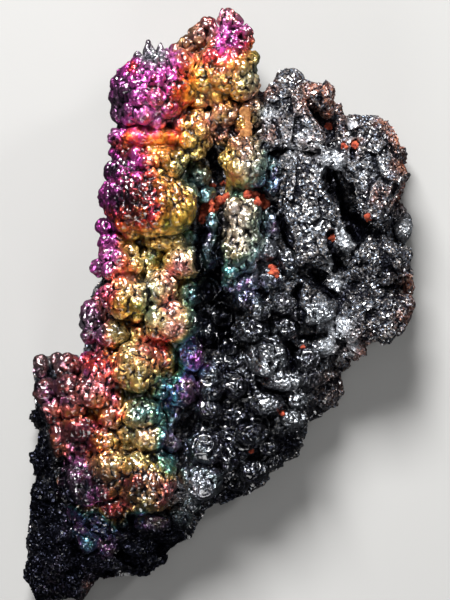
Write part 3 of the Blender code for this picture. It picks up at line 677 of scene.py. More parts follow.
# Where the film on the surface is thick or thin: x, y and reach in millimetres, its order, how
# pale it is and how much of it there is. The paleness is partly pale film and partly painted
# highlight, where the lumps shine white. As the film thickens, its colour runs steel, bronze,
# violet, blue, teal, green, olive, gold, orange, red, crimson, magenta, purple.
STEEL, BRONZE, VIOLET, BLUE, TEAL, GREEN = 0.0, 0.25, 0.45, 0.7, 1.0, 1.45
OLIVE, GOLD, ORANGE, RED, CRIMSON, MAGENTA, PURPLE = 1.75, 2.1, 2.5, 2.85, 3.15, 3.5, 4.0
DEEP_PURPLE, THICKEST = 4.25, 4.5
FILM = {
    "crown": (
        (-19.5, 76.0, 4, DEEP_PURPLE, 0.3, 0.7), (-25.5, 70.8, 2, RED, 0, 1),
        (-22.5, 69.3, 3.5, 3.45, 0.15, 1), (-12, 72.3, 4, MAGENTA, 0.2, 1),
        (-16.5, 66.3, 3.5, 3.45, 0.1, 1), (-10.5, 64.2, 3.5, RED, 0, 1),
        (-9, 60.6, 2.5, ORANGE, 0, 1), (-28.5, 64.8, 4, DEEP_PURPLE, 0.1, 1),
        (-30.6, 58.8, 4, DEEP_PURPLE, 0.15, 1), (-22, 63.3, 4.5, 3.45, 0.15, 1),
        (-21, 57.3, 5, MAGENTA, 0.6, 1), (-13.5, 58.2, 3, CRIMSON, 0.05, 1),
        (-14.4, 54.3, 1.5, MAGENTA, 0.9, 0.5),
    ),
    "neck": (
        (-25.5, 51.3, 4.2, 2.86, 0, 1), (-19.5, 50.7, 4, 2.9, 0, 1),
        (-13.5, 50.7, 3.8, 2.86, 0, 1), (-32, 52.8, 2.5, PURPLE, 0.6, 1),
    ),
    "shoulder": (
        (-8, 52.8, 4, GOLD, 0.4, 1), (-7.5, 48.3, 3.5, GOLD, 0.2, 1), (-9, 44.7, 3, OLIVE, 0.1, 1),
        (-19.5, 46.2, 4, 2.2, 0.2, 1), (-15, 42.3, 4, GOLD, 0.35, 1),
        (-28.5, 46.8, 3, RED, 0.1, 1), (-27, 43.8, 4, 3.8, 0.25, 1),
        (-22.5, 40.8, 3.5, CRIMSON, 0.1, 1), (-32.4, 42.3, 3, DEEP_PURPLE, 0.1, 1),
    ),
    "big_lump": (
        (-34, 34.8, 4, 3.75, 0.1, 1), (-27, 34.8, 4.5, 3.0, 0.1, 1),
        (-28.5, 28.8, 4, 3.0, 0.05, 1), (-22.5, 31.8, 4, 2.95, 0, 1),
        (-21, 36.3, 3.5, 2.9, 0.05, 1), (-17.5, 34.8, 4, 2.7, 0.2, 1),
        (-13.5, 31.8, 3.5, 2.4, 0.2, 1), (-9.6, 30.3, 3, 1.9, 0.1, 1),
        (-16.5, 28.8, 3.5, 2.7, 0.1, 1), (-22.5, 25.2, 3, 2.7, 0, 1), (-15, 24.3, 3, 1.8, 0, 1),
        (-10, 24.3, 3, 1.95, 0, 1), (-28.5, 23.4, 3, 2.7, 0, 1), (-34.5, 22.8, 2.5, 3.9, 0.1, 1),
        (-34.2, 18.9, 2.5, 3.4, 0.1, 1),
    ),
    "waist": (
        (-27, 19.8, 3, 1.9, 0.2, 0.8), (-19.5, 19.8, 3, 2.2, 0.4, 1),
        (-16.5, 16.8, 3, GOLD, 0.4, 1), (-18.6, 14.4, 2.5, 1.55, 0, 1),
        (-13.5, 19.8, 2.5, 2.0, 0.4, 1), (-9.6, 19.8, 2.5, 1.3, 0.6, 0.5),
    ),
    "twins": (
        (-33, 14.4, 4, 3.6, 0.5, 1), (-36, 11.4, 3, 3.9, 0.2, 1), (-28.5, 10.8, 3.5, 2.7, 0.1, 1),
        (-27, 15.3, 3, GOLD, 0.55, 1), (-23.1, 13.2, 3, 1.7, 0.55, 1),
        (-10.5, 14.4, 4, 2.3, 1.3, 0.9), (-12, 10.2, 3.5, 3.1, 0.6, 0.8),
        (-9.6, 6.9, 2.5, 1.2, 0.1, 1),
    ),
    "bulge": (
        (-32.4, 6.3, 3.5, 2.9, 0.5, 1), (-34.5, 3.3, 3, 3.2, 0.1, 1), (-27, 4.8, 3.5, 2.2, 0.7, 1),
        (-30, 0.3, 3, 2.6, 0.1, 1), (-25.5, -1.2, 3, 1.8, 0, 1), (-21, 4.8, 3.5, 1.6, 1, 0.9),
        (-16.5, 6.3, 3.5, 2.6, 1.05, 0.9), (-15, 1.8, 3, 2.9, 0.8, 0.9),
        (-9, 3.3, 3.5, TEAL, 0.65, 1),
    ),
    "side": (
        (-39, 0.3, 3, 3.3, 0.7, 0.6), (-38.4, -5.7, 4, PURPLE, 0.8, 0.5),
        (-37.5, -10.8, 3, PURPLE, 0.8, 0.5), (-31.5, -7.2, 3.5, 1.8, 0.7, 0.9),
        (-27.6, -8.7, 3, 1.7, 0.6, 1), (-34.5, -11.7, 2.5, 2.5, 0, 0.8),
        (-25.5, -6.6, 2.5, 2.8, 0, 1), (-19.5, -4.2, 3.5, 1.5, 0.8, 0.9),
        (-15, -5.7, 3.5, 2.9, 1, 0.9), (-11.4, -4.2, 3, 2.9, 1.05, 0.9),
        (-8.4, -4.2, 2.5, TEAL, 0.5, 1), (-18, -11.1, 3, 2.9, 0.2, 1),
        (-22.5, -10.2, 3, 2.95, 0.5, 1),
    ),
    "middle": (
        (-24.9, -14.7, 3.5, GOLD, 0.7, 1), (-27, -19.2, 3.5, GOLD, 0.55, 1),
        (-22.5, -19.8, 3, GOLD, 0.5, 1), (-30, -21.6, 2.5, ORANGE, 0.1, 0.8),
        (-25.5, -25.2, 3.5, 1.6, 0.1, 0.7), (-21, -22.2, 2.5, 2.2, 0.4, 0.9),
        (-18, -15.6, 3, 2.9, 0.4, 1), (-15.6, -18, 2.5, 2.8, 0.2, 0.9),
        (-12, -13.8, 3, TEAL, 0.35, 1), (-12, -17.4, 2.5, TEAL, 0.2, 1),
        (-7.5, -13.2, 2.8, VIOLET, 0.15, 1), (-7.5, -16.8, 2.5, VIOLET, 0.1, 1),
        (-16.5, -22.8, 3, TEAL, 0.35, 1), (-13.5, -25.8, 3, 0.85, 0.1, 1),
        (-9.9, -22.8, 2.5, VIOLET, 0.3, 1), (-9.9, -26.7, 2.5, VIOLET, 0.5, 0.8),
        (-15, -29.7, 2.5, BLUE, 0.1, 0.8),
    ),
    "pink": (
        (-38.4, -14.7, 2.8, 2.95, 0, 1), (-36.6, -19.2, 3, 3.0, 0.1, 1),
        (-33.6, -17.7, 2.5, 3.1, 0.3, 1), (-35.1, -23.7, 3, 3.1, 0.65, 1),
        (-33, -26.7, 2.5, 3.0, 0.3, 1), (-32.1, -14.7, 2.5, ORANGE, 0.2, 1),
    ),
    "shelf": (
        (-53.4, -18.3, 3.5, CRIMSON, 1, 0.3), (-49.5, -15.3, 2.5, CRIMSON, 1, 0.3),
        (-45.6, -17.7, 3, 3.0, 0.5, 0.9), (-44.4, -22.2, 3.5, 3.0, 0.4, 0.9),
        (-52.5, -23.7, 3, 3.1, 0.5, 0.9), (-47.4, -25.8, 3, 3.0, 0.35, 0.9),
        (-41.4, -23.7, 3, 2.9, 0.7, 1), (-39.6, -27.3, 3, 2.9, 0.75, 1),
        (-43.5, -28.2, 3, 3.2, 0.5, 0.9), (-51, -29.7, 3, 3.0, 0.4, 0.9),
        (-49.5, -34.2, 3, 2.95, 0.35, 0.9), (-49.2, -41.7, 4, 2.9, 0.3, 0.8),
        (-45, -34.8, 2.5, 2.65, 0, 1), (-37.5, -32.7, 3.5, 2.65, 0, 1),
        (-39.6, -35.7, 2, 3.6, 0.4, 0.7), (-40.5, -40.2, 3, 2.9, 0.1, 0.6),
        (-44.4, -39.3, 3, 3.0, 0.5, 0.9), (-37.5, -38.7, 3, 2.6, 0.1, 0.9),
        (-36, -43.2, 2.5, 2.6, 0, 0.7),
    ),
    "inner": (
        (-33, -31.8, 3, 2.6, 0.5, 0.8), (-31.5, -37.2, 3, 2.5, 0.2, 0.6),
        (-30, -32.7, 2, 2.7, 0, 0.9), (-25.5, -31.8, 3, 1.5, 0.8, 0.9),
        (-21.6, -31.8, 3, 1.2, 0.75, 0.9), (-18.9, -32.7, 2.2, TEAL, 0.2, 1),
        (-22.5, -37.2, 3, 2.4, 0.85, 0.9), (-27, -38.7, 3, 1.7, 0.6, 0.8),
        (-20.4, -38.4, 2.5, 2.7, 0.8, 0.8), (-18.2, -37.2, 1.8, TEAL, 0.2, 1),
        (-24, -42.6, 2.5, 2.0, 0.6, 0.8), (-15, -40.2, 3, VIOLET, 0.5, 0.4),
        (-16.5, -44.7, 2, TEAL, 0.2, 0.8),
    ),
    "foot": (
        (-34.5, -47.7, 4, 2.2, 0.65, 0.9), (-33, -51.6, 3.5, 2.4, 0.45, 0.8),
        (-36, -55.2, 3, 3.1, 0.1, 0.5), (-43.5, -50.7, 3.5, PURPLE, 0.45, 0.7),
        (-42, -55.2, 4, PURPLE, 0.35, 0.8), (-45.6, -55.2, 3, PURPLE, 0.3, 0.7),
        (-32.4, -60.6, 3.5, 3.05, 0.2, 1), (-24, -46.2, 3.5, GOLD, 0.5, 1),
        (-20.4, -46.8, 3, GOLD, 0.5, 1), (-17.6, -46.5, 2, TEAL, 0.2, 1),
        (-15.6, -49.8, 2, TEAL, 0.2, 1), (-18, -52, 3, 2.9, 0.6, 0.9),
        (-24, -51.6, 3.5, 2.8, 0.1, 0.6), (-28.5, -52.2, 3, 2.7, 0.1, 0.6),
        (-22.5, -56.7, 3.5, 1.9, 0.6, 0.8), (-27.6, -58.2, 3, ORANGE, 0.1, 0.5),
        (-18, -58.8, 3, 2.7, 0.1, 0.5), (-14.4, -55.2, 3, 3.1, 0.3, 0.4),
    ),
    "gold_top": (
        (1.8, 87, 3, CRIMSON, 0.7, 0.9), (1.5, 82.2, 3.2, 3.7, 0.3, 1),
        (2.4, 77.4, 3.2, MAGENTA, 0.15, 1), (6, 77.4, 3, 3.2, 0.3, 1), (7.5, 82.2, 2, 3.3, 0.6, 1),
        (8.7, 73.8, 3, 1.8, 0.3, 1), (-1.5, 73.8, 3.5, 2.75, 0, 1), (3.6, 72.9, 3, 2.75, 0, 1),
        (-7.5, 74.7, 3, 2.6, 0.4, 1), (-7.5, 70.8, 3, 2.2, 0.2, 1),
        (-4.5, 66.9, 3.5, 2.15, 0.1, 1), (-1.2, 69.3, 3, 2.4, 0.5, 1),
        (4.5, 67.8, 3.5, GOLD, 0.5, 1), (9, 68.4, 3, 1.9, 0.9, 0.8), (3, 63.3, 3.5, 2.4, 0, 1),
        (-1.5, 62.7, 2.5, 2.3, 0.1, 1), (-5.1, 63.3, 3, 2.0, 0.5, 1),
        (-4.5, 83.7, 3, 2.8, 0.6, 0.4), (-6.9, 80.4, 3.5, 2.4, 0.4, 0.25),
        (-10.5, 78.3, 3, 2.4, 0.3, 0.2),
    ),
    "ochre": (
        (-4.5, 58.8, 3, GOLD, 0.5, 0.7), (-1.5, 57.3, 3, 2.4, 0.3, 0.6),
        (1.5, 57.3, 2.5, 2.2, 0.6, 0.6), (-3, 52.8, 3.5, 2.8, 0.4, 0.3),
        (2.4, 52.8, 3, ORANGE, 0.4, 0.35), (4.5, 58.2, 2, 2.2, 0.8, 0.5),
        (7.8, 55.2, 3, 2.35, 0, 1), (10.5, 60.3, 3, 2.8, 0.85, 0.5),
        (11.4, 52.8, 3, 2.6, 0.6, 0.2), (-5, 45, 3, 2.0, 0.3, 0.3),
    ),
    "gold_column": (
        # Paleness above 1 here is mostly painted highlight: the broad white shine of these lumps.
        (3, 43.8, 3, 2.05, 0.1, 0.9), (9, 43.8, 4, 2.3, 2.2, 0.95),
        (7.5, 47.4, 3, ORANGE, 0.5, 0.5), (4.5, 37.8, 3, 2.4, 0.1, 0.7),
        (6, 34.2, 2.3, 1.2, 0.1, 0.5), (13.5, 42.3, 3, TEAL, 0.5, 0.8),
        (14.4, 36.3, 3, TEAL, 0.4, 0.8), (6, 27.3, 4, 2.3, 2.2, 0.95), (3, 21.3, 3, 2.3, 1.8, 0.9),
        (7.5, 19.8, 3.5, 2.2, 2.2, 0.95), (11.4, 24.3, 3, 1.5, 0.5, 0.5),
        (10.5, 18.3, 2.5, 1.1, 0.5, 0.8), (4.5, 14.4, 3, 1.9, 0.7, 0.6),
        (2.4, 10.8, 3, TEAL, 0.3, 0.9), (7.5, 10.8, 3, TEAL, 0.5, 0.8),
        (6, 6.6, 3, 0.55, 0.6, 0.6), (10.5, 6.3, 2.5, 0.5, 0.6, 0.4), (16, 24, 3, BLUE, 0.7, 0.4),
    ),
    "valley": (
        (-7.5, 40.2, 3.5, 1.1, 0.8, 0.35), (-4.5, 34.2, 2.5, TEAL, 0.6, 0.6),
        (-2.1, 25.2, 2.5, TEAL, 0.6, 0.6), (-4, 16.8, 5, BLUE, 0.2, 0.2), (0, -6, 6, BLUE, 0, 0),
        (-3, -12, 3, VIOLET, 0, 0.1), (18, 10, 4, BLUE, 0.5, 0.1),
    ),
    "knobs": (
        (15, -16, 8, BLUE, 0.3, 0.03), (20, -30, 8, BLUE, 0.3, 0.03),
        (-3, -26, 5, BLUE, 0.2, 0.08), (6, -38, 8, BLUE, 0.1, 0.03), (-4, -44, 5, BLUE, 0.3, 0.1),
        (-5, -53, 4, BLUE, 0.85, 0.5), (10, -48, 6, BLUE, 0.1, 0.05),
        (28, -5, 10, BLUE, 0.3, 0.03), (-10, -34, 3, BLUE, 0.2, 0.1),
    ),
    "rock": (
        (-45.6, -62.7, 2.5, 0.6, 0.2, 1), (-43.5, -65.7, 2.5, 0.64, 0.2, 1),
        (-40.5, -70.2, 2.5, 0.66, 0.3, 1), (-37.5, -64.2, 2.5, 0.62, 0.3, 0.9),
        (-33.9, -68.7, 2.5, 0.62, 0.2, 0.9), (-33.6, -74.1, 2, 0.6, 0.2, 0.9),
        (-29, -70, 2, 0.66, 0.2, 0.6), (-47, -69, 2, 0.6, 0.1, 0.5), (-25, -75, 6, BLUE, 0.1, 0.1),
        (-24, -64.8, 3, 0.5, 0.2, 0.7), (-18, -64.2, 2, VIOLET, 0.3, 0.7),
        (-10.5, -64.2, 4, TEAL, 0.9, 0.3), (-52.5, -52.2, 3, 0.6, 0.3, 0.3),
        (-53, -64, 6, 0.6, 0.1, 0.2), (-54, -82, 6, 0.55, 0.1, 0.1), (-48, -84, 5, BLUE, 0, 0),
        (-56, -45, 4, 3.1, 0.3, 0.1), (-56.5, -30, 4, 3.1, 0.6, 0.2), (33, 43, 8, BLUE, 0.6, 0.12),
        (45, 45, 12, BLUE, 0.3, 0), (25, 25, 12, BLUE, 0.2, 0), (48, 5, 14, BLUE, 0.2, 0),
        (25, 62, 10, BLUE, 0.2, 0), (35, -25, 10, BLUE, 0, 0), (20, -45, 10, BLUE, 0, 0),
        (38, 15, 8, BLUE, 0.2, 0), (22, 46, 8, BLUE, 0.2, 0),
    ),
}
# The white is that of pale film and, where the lumps shine white, painted highlight.
PALENESS = 0.38  # how much white a film of paleness 1 holds


def film_fields(points):
    """The film's order, paleness and share at each point, blended from the patches around it."""
    weight = np.zeros(len(points))
    fields = np.zeros((len(points), 3))
    for cluster in FILM.values():
        for x, y, reach, order, pale_and_highlight, share in cluster:
            squared = ((points[:, 0] - x) ** 2 + (points[:, 1] - y) ** 2) / reach**2
            near = np.exp(-squared * 0.9) + 1e-9 / (1 + squared)
            weight += near
            fields += near[:, None] * (order, pale_and_highlight, share)
    return fields / weight[:, None]


# Rust: brown-orange rims and patches on the broken rock, as x, y, reach and strength.
RUST = (
    (30, 63, 6, 1.0), (33, 57, 5, 0.7), (12, 66, 4, 0.9), (51.5, 55, 3.5, 1.2), (54, 49.5, 3, 1.2),
    (55.5, 43, 3.5, 1.2), (54, 34, 4, 0.9), (58, 6, 4, 0.9), (57, -3, 4, 0.6), (42, -13, 5, 0.6),
    (47, 33, 3, 0.5), (-6, 83, 5, 0.7), (-12, 77, 5, 0.7), (-50, -85, 7, 0.6), (-40, -86, 6, 0.8),
    (28, 50, 5, 0.3), (40, 49, 4, 0.4), (-49, -77, 5, 0.3), (34, -24, 6, 0.3), (16, 52, 4, 0.5),
)

# Matt ochre earth on the film.
DULL = (
    (-2, 56, 3.0, 0.3), (-49, -27, 7, 0.4), (-48, -40, 5, 0.4), (-5, 81, 4, 0.35),
    (-12, 77, 4, 0.4), (5, 37.5, 2.5, 0.5),
)

# Painted shade: places where the colour is darkened as if in shadow, such as the lower left, the
# valleys, the knobs and the left of the big lump, on the grown lumps as well as on the rock: x,
# y, reach and strength.
SHADE = (
    (-50, -62, 10, 1.8), (-40, -74, 12, 1.8), (-22, -76, 11, 1.6), (-52, -85, 12, 1.7),
    (-57, -45, 8, 1.8), (-57, -60, 8, 1.8), (-55, -34, 4, 1.3), (-55.5, -24, 3, 1.0),
    (-32, -70, 9, 1.4), (-14, -70, 8, 1.1), (-4, 4, 5, 1.2), (-5, -4, 4, 1.2), (2, -12, 5, 1.0),
    (-3, -10, 5, 1.0), (20, 22, 2.5, 0.7), (-4, 22, 3, 0.6), (28, -32, 5, 0.8), (20, -42, 7, 1.0),
    (4, -57, 7, 1.0), (-3, -60, 6, 0.9), (10, -52, 6, 0.9), (52, 10, 4, 0.35), (24, -12, 3, 0.7),
    (32, -24, 6, 0.5), (20, 58, 3, 0.3), (16, 10, 5, 0.4), (-48, -24, 9, 0.8), (-45, -38, 9, 0.82),
    (-38, -54, 9, 0.84), (-24, -55, 8, 0.79), (-25, -22, 9, 0.25), (-31, 32, 7, 0.85),
    (-26, 28, 6, 0.78), (-22, 34, 5, 0.65), (-31, 42, 5, 0.7), (-37, -5, 6, 0.5),
    (-15, 30, 7, 0.35), (-26, -8, 9, 0.25), (45, 20, 8, 0.35), (48, 4, 12, 0.35),
    (50, 36, 10, 0.2), (5, -36, 22, 0.78), (14, -8, 12, 0.5), (-27, 32, 8, 0.88),
    (-35, 18.5, 4, 0.5), (-36, 11, 4, 0.4), (-19.5, 74, 4, 0.3), (-54, -72, 7, 1.3),
)

# Bright silvery metal on the rock, the knobs and the crown's spires: partly their own silvery
# lustre, partly painted highlight where they shine white.
SILVER_AND_HIGHLIGHTS = (
    (-19.5, 74.5, 3, 0.8), (15, 57.3, 3, 0.9), (28.5, 46.8, 3, 0.8), (34.5, 43.8, 4, 0.9),
    (31.5, 43, 3, 0.8), (39.6, 54.3, 1.4, 1), (40.2, 51.5, 1.4, 1), (37.5, 19.8, 3.5, 0.9),
    (34.5, 12.3, 2.2, 1), (35.1, 6.3, 2.0, 1), (30, -2.7, 4, 0.8), (36, -7.2, 4, 0.9),
    (32.4, -12.6, 3, 0.9), (39, -11.7, 3.5, 0.8), (14.4, -16.2, 5, 0.8), (20.4, -22.8, 4, 0.9),
    (23.4, -28.8, 3.5, 0.8), (21.9, -34.5, 3.5, 0.8), (-6, -53.7, 5, 0.8), (14, -29, 3, 0.6),
    (45, 41, 6, 0.3), (57, 24, 4, 0.5), (22, 50, 6, 0.4), (28, 25, 5, 0.2), (14.4, 17, 3, 0.5),
    (12.5, 11, 3, 0.5),
)


def patches(points, table):
    """How strongly each point is inside the nearest of the patches (x, y, reach, strength)."""
    field = np.zeros(len(points))
    for x, y, reach, strength in table:
        squared = ((points[:, 0] - x) ** 2 + (points[:, 1] - y) ** 2) / reach**2
        field = np.maximum(field, strength * np.exp(-squared))
    return field


# Smooth satin bands of film, which glow in colour and have few pimples.
SATIN = (
    (-25.5, 51, 3.5, 1), (-19.5, 50.6, 3.8, 1), (-14, 50.8, 3, 0.9), (-28, 22.6, 2.2, 0.6),
    (-23.5, 22.2, 2.2, 0.6), (-14.5, 23.0, 3.2, 0.7), (-9.5, 27, 2.5, 0.6), (3.5, 38, 3, 0.7),
    (8, 36.8, 3, 0.5), (-28, 10, 2.2, 0.5), (-25.5, -25.5, 3, 0.6), (-10, -10, 2.5, 0.5),
    (-44, -35.5, 3, 0.5), (-37, -31.5, 3, 0.4), (2, 73.5, 3.5, 0.6), (-2, 64, 3, 0.4),
    (-10.5, 62, 2.5, 0.6), (-21, 57, 4, 0.3), (-12, -3.5, 2.5, 0.3), (-8, -20, 3, 0.3),
)

FILM_STEPS = 0.35  # how much the film's order differs from pimple to pimple
FILM_DRIFT = 0.3  # and how much it drifts over a few pimples
RUST_ON_FILM = 0.6
# Painted shade in the hollows: how dark a hollow is painted where it is deepest.
SHADE_IN_HOLLOWS = 0.85
SHADE_ON_ROCK_FILM = 0.2  # how much shade is left on the film of the broken rock
GLINT_FADES = {"rock": (0.5, 0.9), "pimpled": (0.7, 1.1), "wrinkled": (0.7, 1.1)}
# How many rounds of smoothing the fine and the broad relief are measured from, and their range.
# The material paints shade into the creases that these find.
FINE_RELIEF, BROAD_RELIEF = (6, 0.5), (60, 3.0)


def describe(mesh, kind):
    """Stores what the material reads."""
    rock = kind == "rock"
    points = read_vectors(mesh.vertices, "co")
    order, pale_and_highlight, share = film_fields(points).T
    own = grains(points * DRAWN_OUT, PIMPLE, 29)[2]
    order += FILM_STEPS * (own - 0.5) + FILM_DRIFT * waves(points, 4.0)
    store(mesh, "film", order / THICKEST)
    store(mesh, "pale_and_highlight", np.clip(PALENESS * pale_and_highlight, 0, 1))
    store(mesh, "share", share)
    store(mesh, "rust", patches(points, RUST) * (1 if rock else RUST_ON_FILM))
    store(mesh, "dull", patches(points, DULL))
    store(mesh, "silver_and_highlight", patches(points, SILVER_AND_HIGHLIGHTS))
    store(mesh, "grain", own)
    store(mesh, "satin", patches(points, SATIN))
    store(mesh, "wrinkled", np.full(len(points), float(kind == "wrinkled")))
    # Painted shade: the shade patches, and the hollows darkened as if in shadow.
    hollow = SHADE_IN_HOLLOWS * hollowness(points)[1]
    shade = np.clip(np.maximum(patches(points, SHADE), hollow), 0, 1)
    if rock:
        shade *= 1 - (1 - SHADE_ON_ROCK_FILM) * np.clip(share, 0, 1) ** 2
    store(mesh, "shade", shade)
    low, high = GLINT_FADES[kind]
    store(mesh, "bare", 1 - 0.96 * np.clip((shade - low) / (high - low), 0, 1))
    for name, (rounds, reach) in (("fine", FINE_RELIEF), ("broad", BROAD_RELIEF)):
        store(mesh, name, np.clip(0.5 + relief(mesh, rounds) / reach, 0, 1))
    if rock:
        grown = 1 - np.clip((lump_distance(points, ("lower_ledge",)) - 1.0) / 0.3, 0, 1)
        grown = np.where(points[:, 1] < -58, np.maximum(grown, smoothstep(share, 0.3, 0.6)), grown)
        store(mesh, "rock", 1 - 0.8 * grown)
    else:
        store(mesh, "rock", np.zeros(len(points)))


# Materials. All colours are in linear light.


# The colours of the film, from the thinnest film to the thickest.
FILM_COLOURS = (
    (STEEL, (0.10, 0.105, 0.12)),
    (BRONZE, (0.28, 0.16, 0.09)),
    (VIOLET, (0.30, 0.035, 0.36)),
    (BLUE, (0.04, 0.11, 0.42)),
    (TEAL, (0.01, 0.34, 0.34)),
    (GREEN, (0.10, 0.27, 0.07)),
    (OLIVE, (0.40, 0.33, 0.025)),
    (GOLD, (0.92, 0.56, 0.07)),
    (ORANGE, (0.90, 0.27, 0.015)),
    (RED, (0.85, 0.05, 0.012)),
    (CRIMSON, (0.52, 0.015, 0.07)),
    (MAGENTA, (0.90, 0.075, 0.62)),
    (PURPLE, (0.14, 0.010, 0.12)),
    (THICKEST, (0.035, 0.004, 0.03)),
)
# The white of the palest film, also used as painted highlight.
PALEST_AND_HIGHLIGHT = (0.80, 0.78, 0.74, 1)
DARK_STEEL, LIGHT_STEEL = (0.005, 0.006, 0.008, 1), (0.17, 0.18, 0.20, 1)
# The silvery metal of the silver patches, partly painted highlight.
SILVER_HIGHLIGHT_METAL = (0.66, 0.70, 0.75, 1)
# The colour of painted shade, in the creases and in the shade patches.
PAINTED_SHADE_COLOUR = (0.007, 0.0075, 0.013, 1)
# The grains of the broken rock, their tints and the rust, from the darkest grain to the lightest.
GRAIN_SIZE = 0.55
GRAIN_TONES = (
    (0.1, (0.020, 0.018, 0.020)), (0.5, (0.080, 0.078, 0.084)), (0.9, (0.50, 0.51, 0.535)),
)
GRAIN_TINTS = ((0.15, (0.60, 0.77, 1.0)), (0.5, (0.96, 0.93, 0.95)), (0.85, (1.0, 0.84, 0.68)))
RUST_TONES = ((0.1, (0.09, 0.02, 0.01)), (0.5, (0.36, 0.09, 0.04)), (0.9, (0.75, 0.38, 0.25)))
RED_TONES = ((0.3, (0.08, 0.010, 0.005)), (0.5, (0.31, 0.036, 0.013)), (0.7, (0.56, 0.13, 0.05)))
OCHRE_TONES = ((0.3, (0.10, 0.035, 0.008)), (0.5, (0.27, 0.10, 0.02)), (0.7, (0.42, 0.20, 0.06)))
# Faces too small for the mesh: size, and how steeply they tilt.
COARSE_FACES, FINE_FACES, CRYSTALS = (1.35, 1.3), (0.6, 0.45), (0.6, 1.5)
FOLD_DEPTH = 3.0
GRIT_DEPTH = 0.25
SATIN_ROUGHNESS, MATT_ROUGHNESS = 0.45, 0.7
METALLIC, MATT_METALLIC = 0.97, 0.1
COAT = 0.75


def feed(inlet, value):
    """Links a socket to an inlet, or sets the inlet to a plain value."""
    if isinstance(value, bpy.types.NodeSocket):
        inlet.id_data.links.new(value, inlet)
    else:
        inlet.default_value = value


def node(tree, kind, inlets, **settings):
    """A new node with its settings, and with its inlets fed."""
    made = tree.nodes.new("ShaderNode" + kind)
    for name, value in settings.items():
        setattr(made, name, value)
    for inlet, value in inlets.items():
        feed(made.inputs[inlet], value)
    return made


def attribute(tree, name):
    return node(tree, "Attribute", {}, attribute_name=name).outputs["Fac"]


def maths(tree, operation, first, second, clamp=False):
    inlets = {0: first, 1: second}
    return node(tree, "Math", inlets, operation=operation, use_clamp=clamp).outputs[0]


def times(tree, first, second, clamp=False):
    return maths(tree, "MULTIPLY", first, second, clamp)


def vector_maths(tree, operation, first, second, outlet="Vector"):
    inlets = {0: first, 1: second}
    return node(tree, "VectorMath", inlets, operation=operation).outputs[outlet]


def mixed(tree, share, first, second, blend="MIX"):
    """A mix of two colours."""
    inlets = {0: share, 6: first, 7: second}
    return node(tree, "Mix", inlets, data_type="RGBA", blend_type=blend).outputs[2]


def blended(tree, share, first, second):
    """A mix of two plain numbers."""
    return node(tree, "Mix", {0: share, 2: first, 3: second}).outputs[0]


def mapped(tree, value, low, high, to_low=0.0, to_high=1.0):
    inlets = {"Value": value, "From Min": low, "From Max": high}
    inlets.update({"To Min": to_low, "To Max": to_high})
    return node(tree, "MapRange", inlets).outputs["Result"]


def ramp(tree, value, stops):
    made = node(tree, "ValToRGB", {"Fac": value})
    elements = made.color_ramp.elements
    elements[0].position, elements[0].color = stops[0][0], (*stops[0][1], 1)
    elements[1].position, elements[1].color = stops[-1][0], (*stops[-1][1], 1)
    for position, colour in stops[1:-1]:
        elements.new(position).color = (*colour, 1)
    return made.outputs["Color"]


def where(tree):
    return node(tree, "TexCoord", {}).outputs["Object"]


def wrinkle(tree, scale, detail, roughness=0.6):
    inlets = {"Vector": where(tree), "Scale": scale, "Detail": detail, "Roughness": roughness}
    return node(tree, "TexNoise", inlets).outputs["Fac"]


def cells(tree, size):
    """Voronoi cells of a size in millimetres."""
    return node(tree, "TexVoronoi", {"Scale": 1 / (size * MM), "Vector": where(tree)})


def tilted_faces(tree, size, steepness):
    """The height, in metres, of little crystal faces that each tilt their own way."""
    made = cells(tree, size)
    away = vector_maths(tree, "SUBTRACT", where(tree), made.outputs["Position"])
    lean = vector_maths(tree, "SUBTRACT", made.outputs["Color"], (0.5, 0.5, 0.5))
    return times(tree, vector_maths(tree, "DOT_PRODUCT", away, lean, "Value"), steepness)


def raised(tree, height):
    return node(tree, "Bump", {"Distance": 1, "Height": height}).outputs["Normal"]


def new_material(name):
    material = bpy.data.materials.new(name)
    material.use_nodes = True
    return material, material.node_tree


def set_shader(tree, inlets):
    for name, value in inlets.items():
        feed(tree.nodes["Principled BSDF"].inputs[name], value)


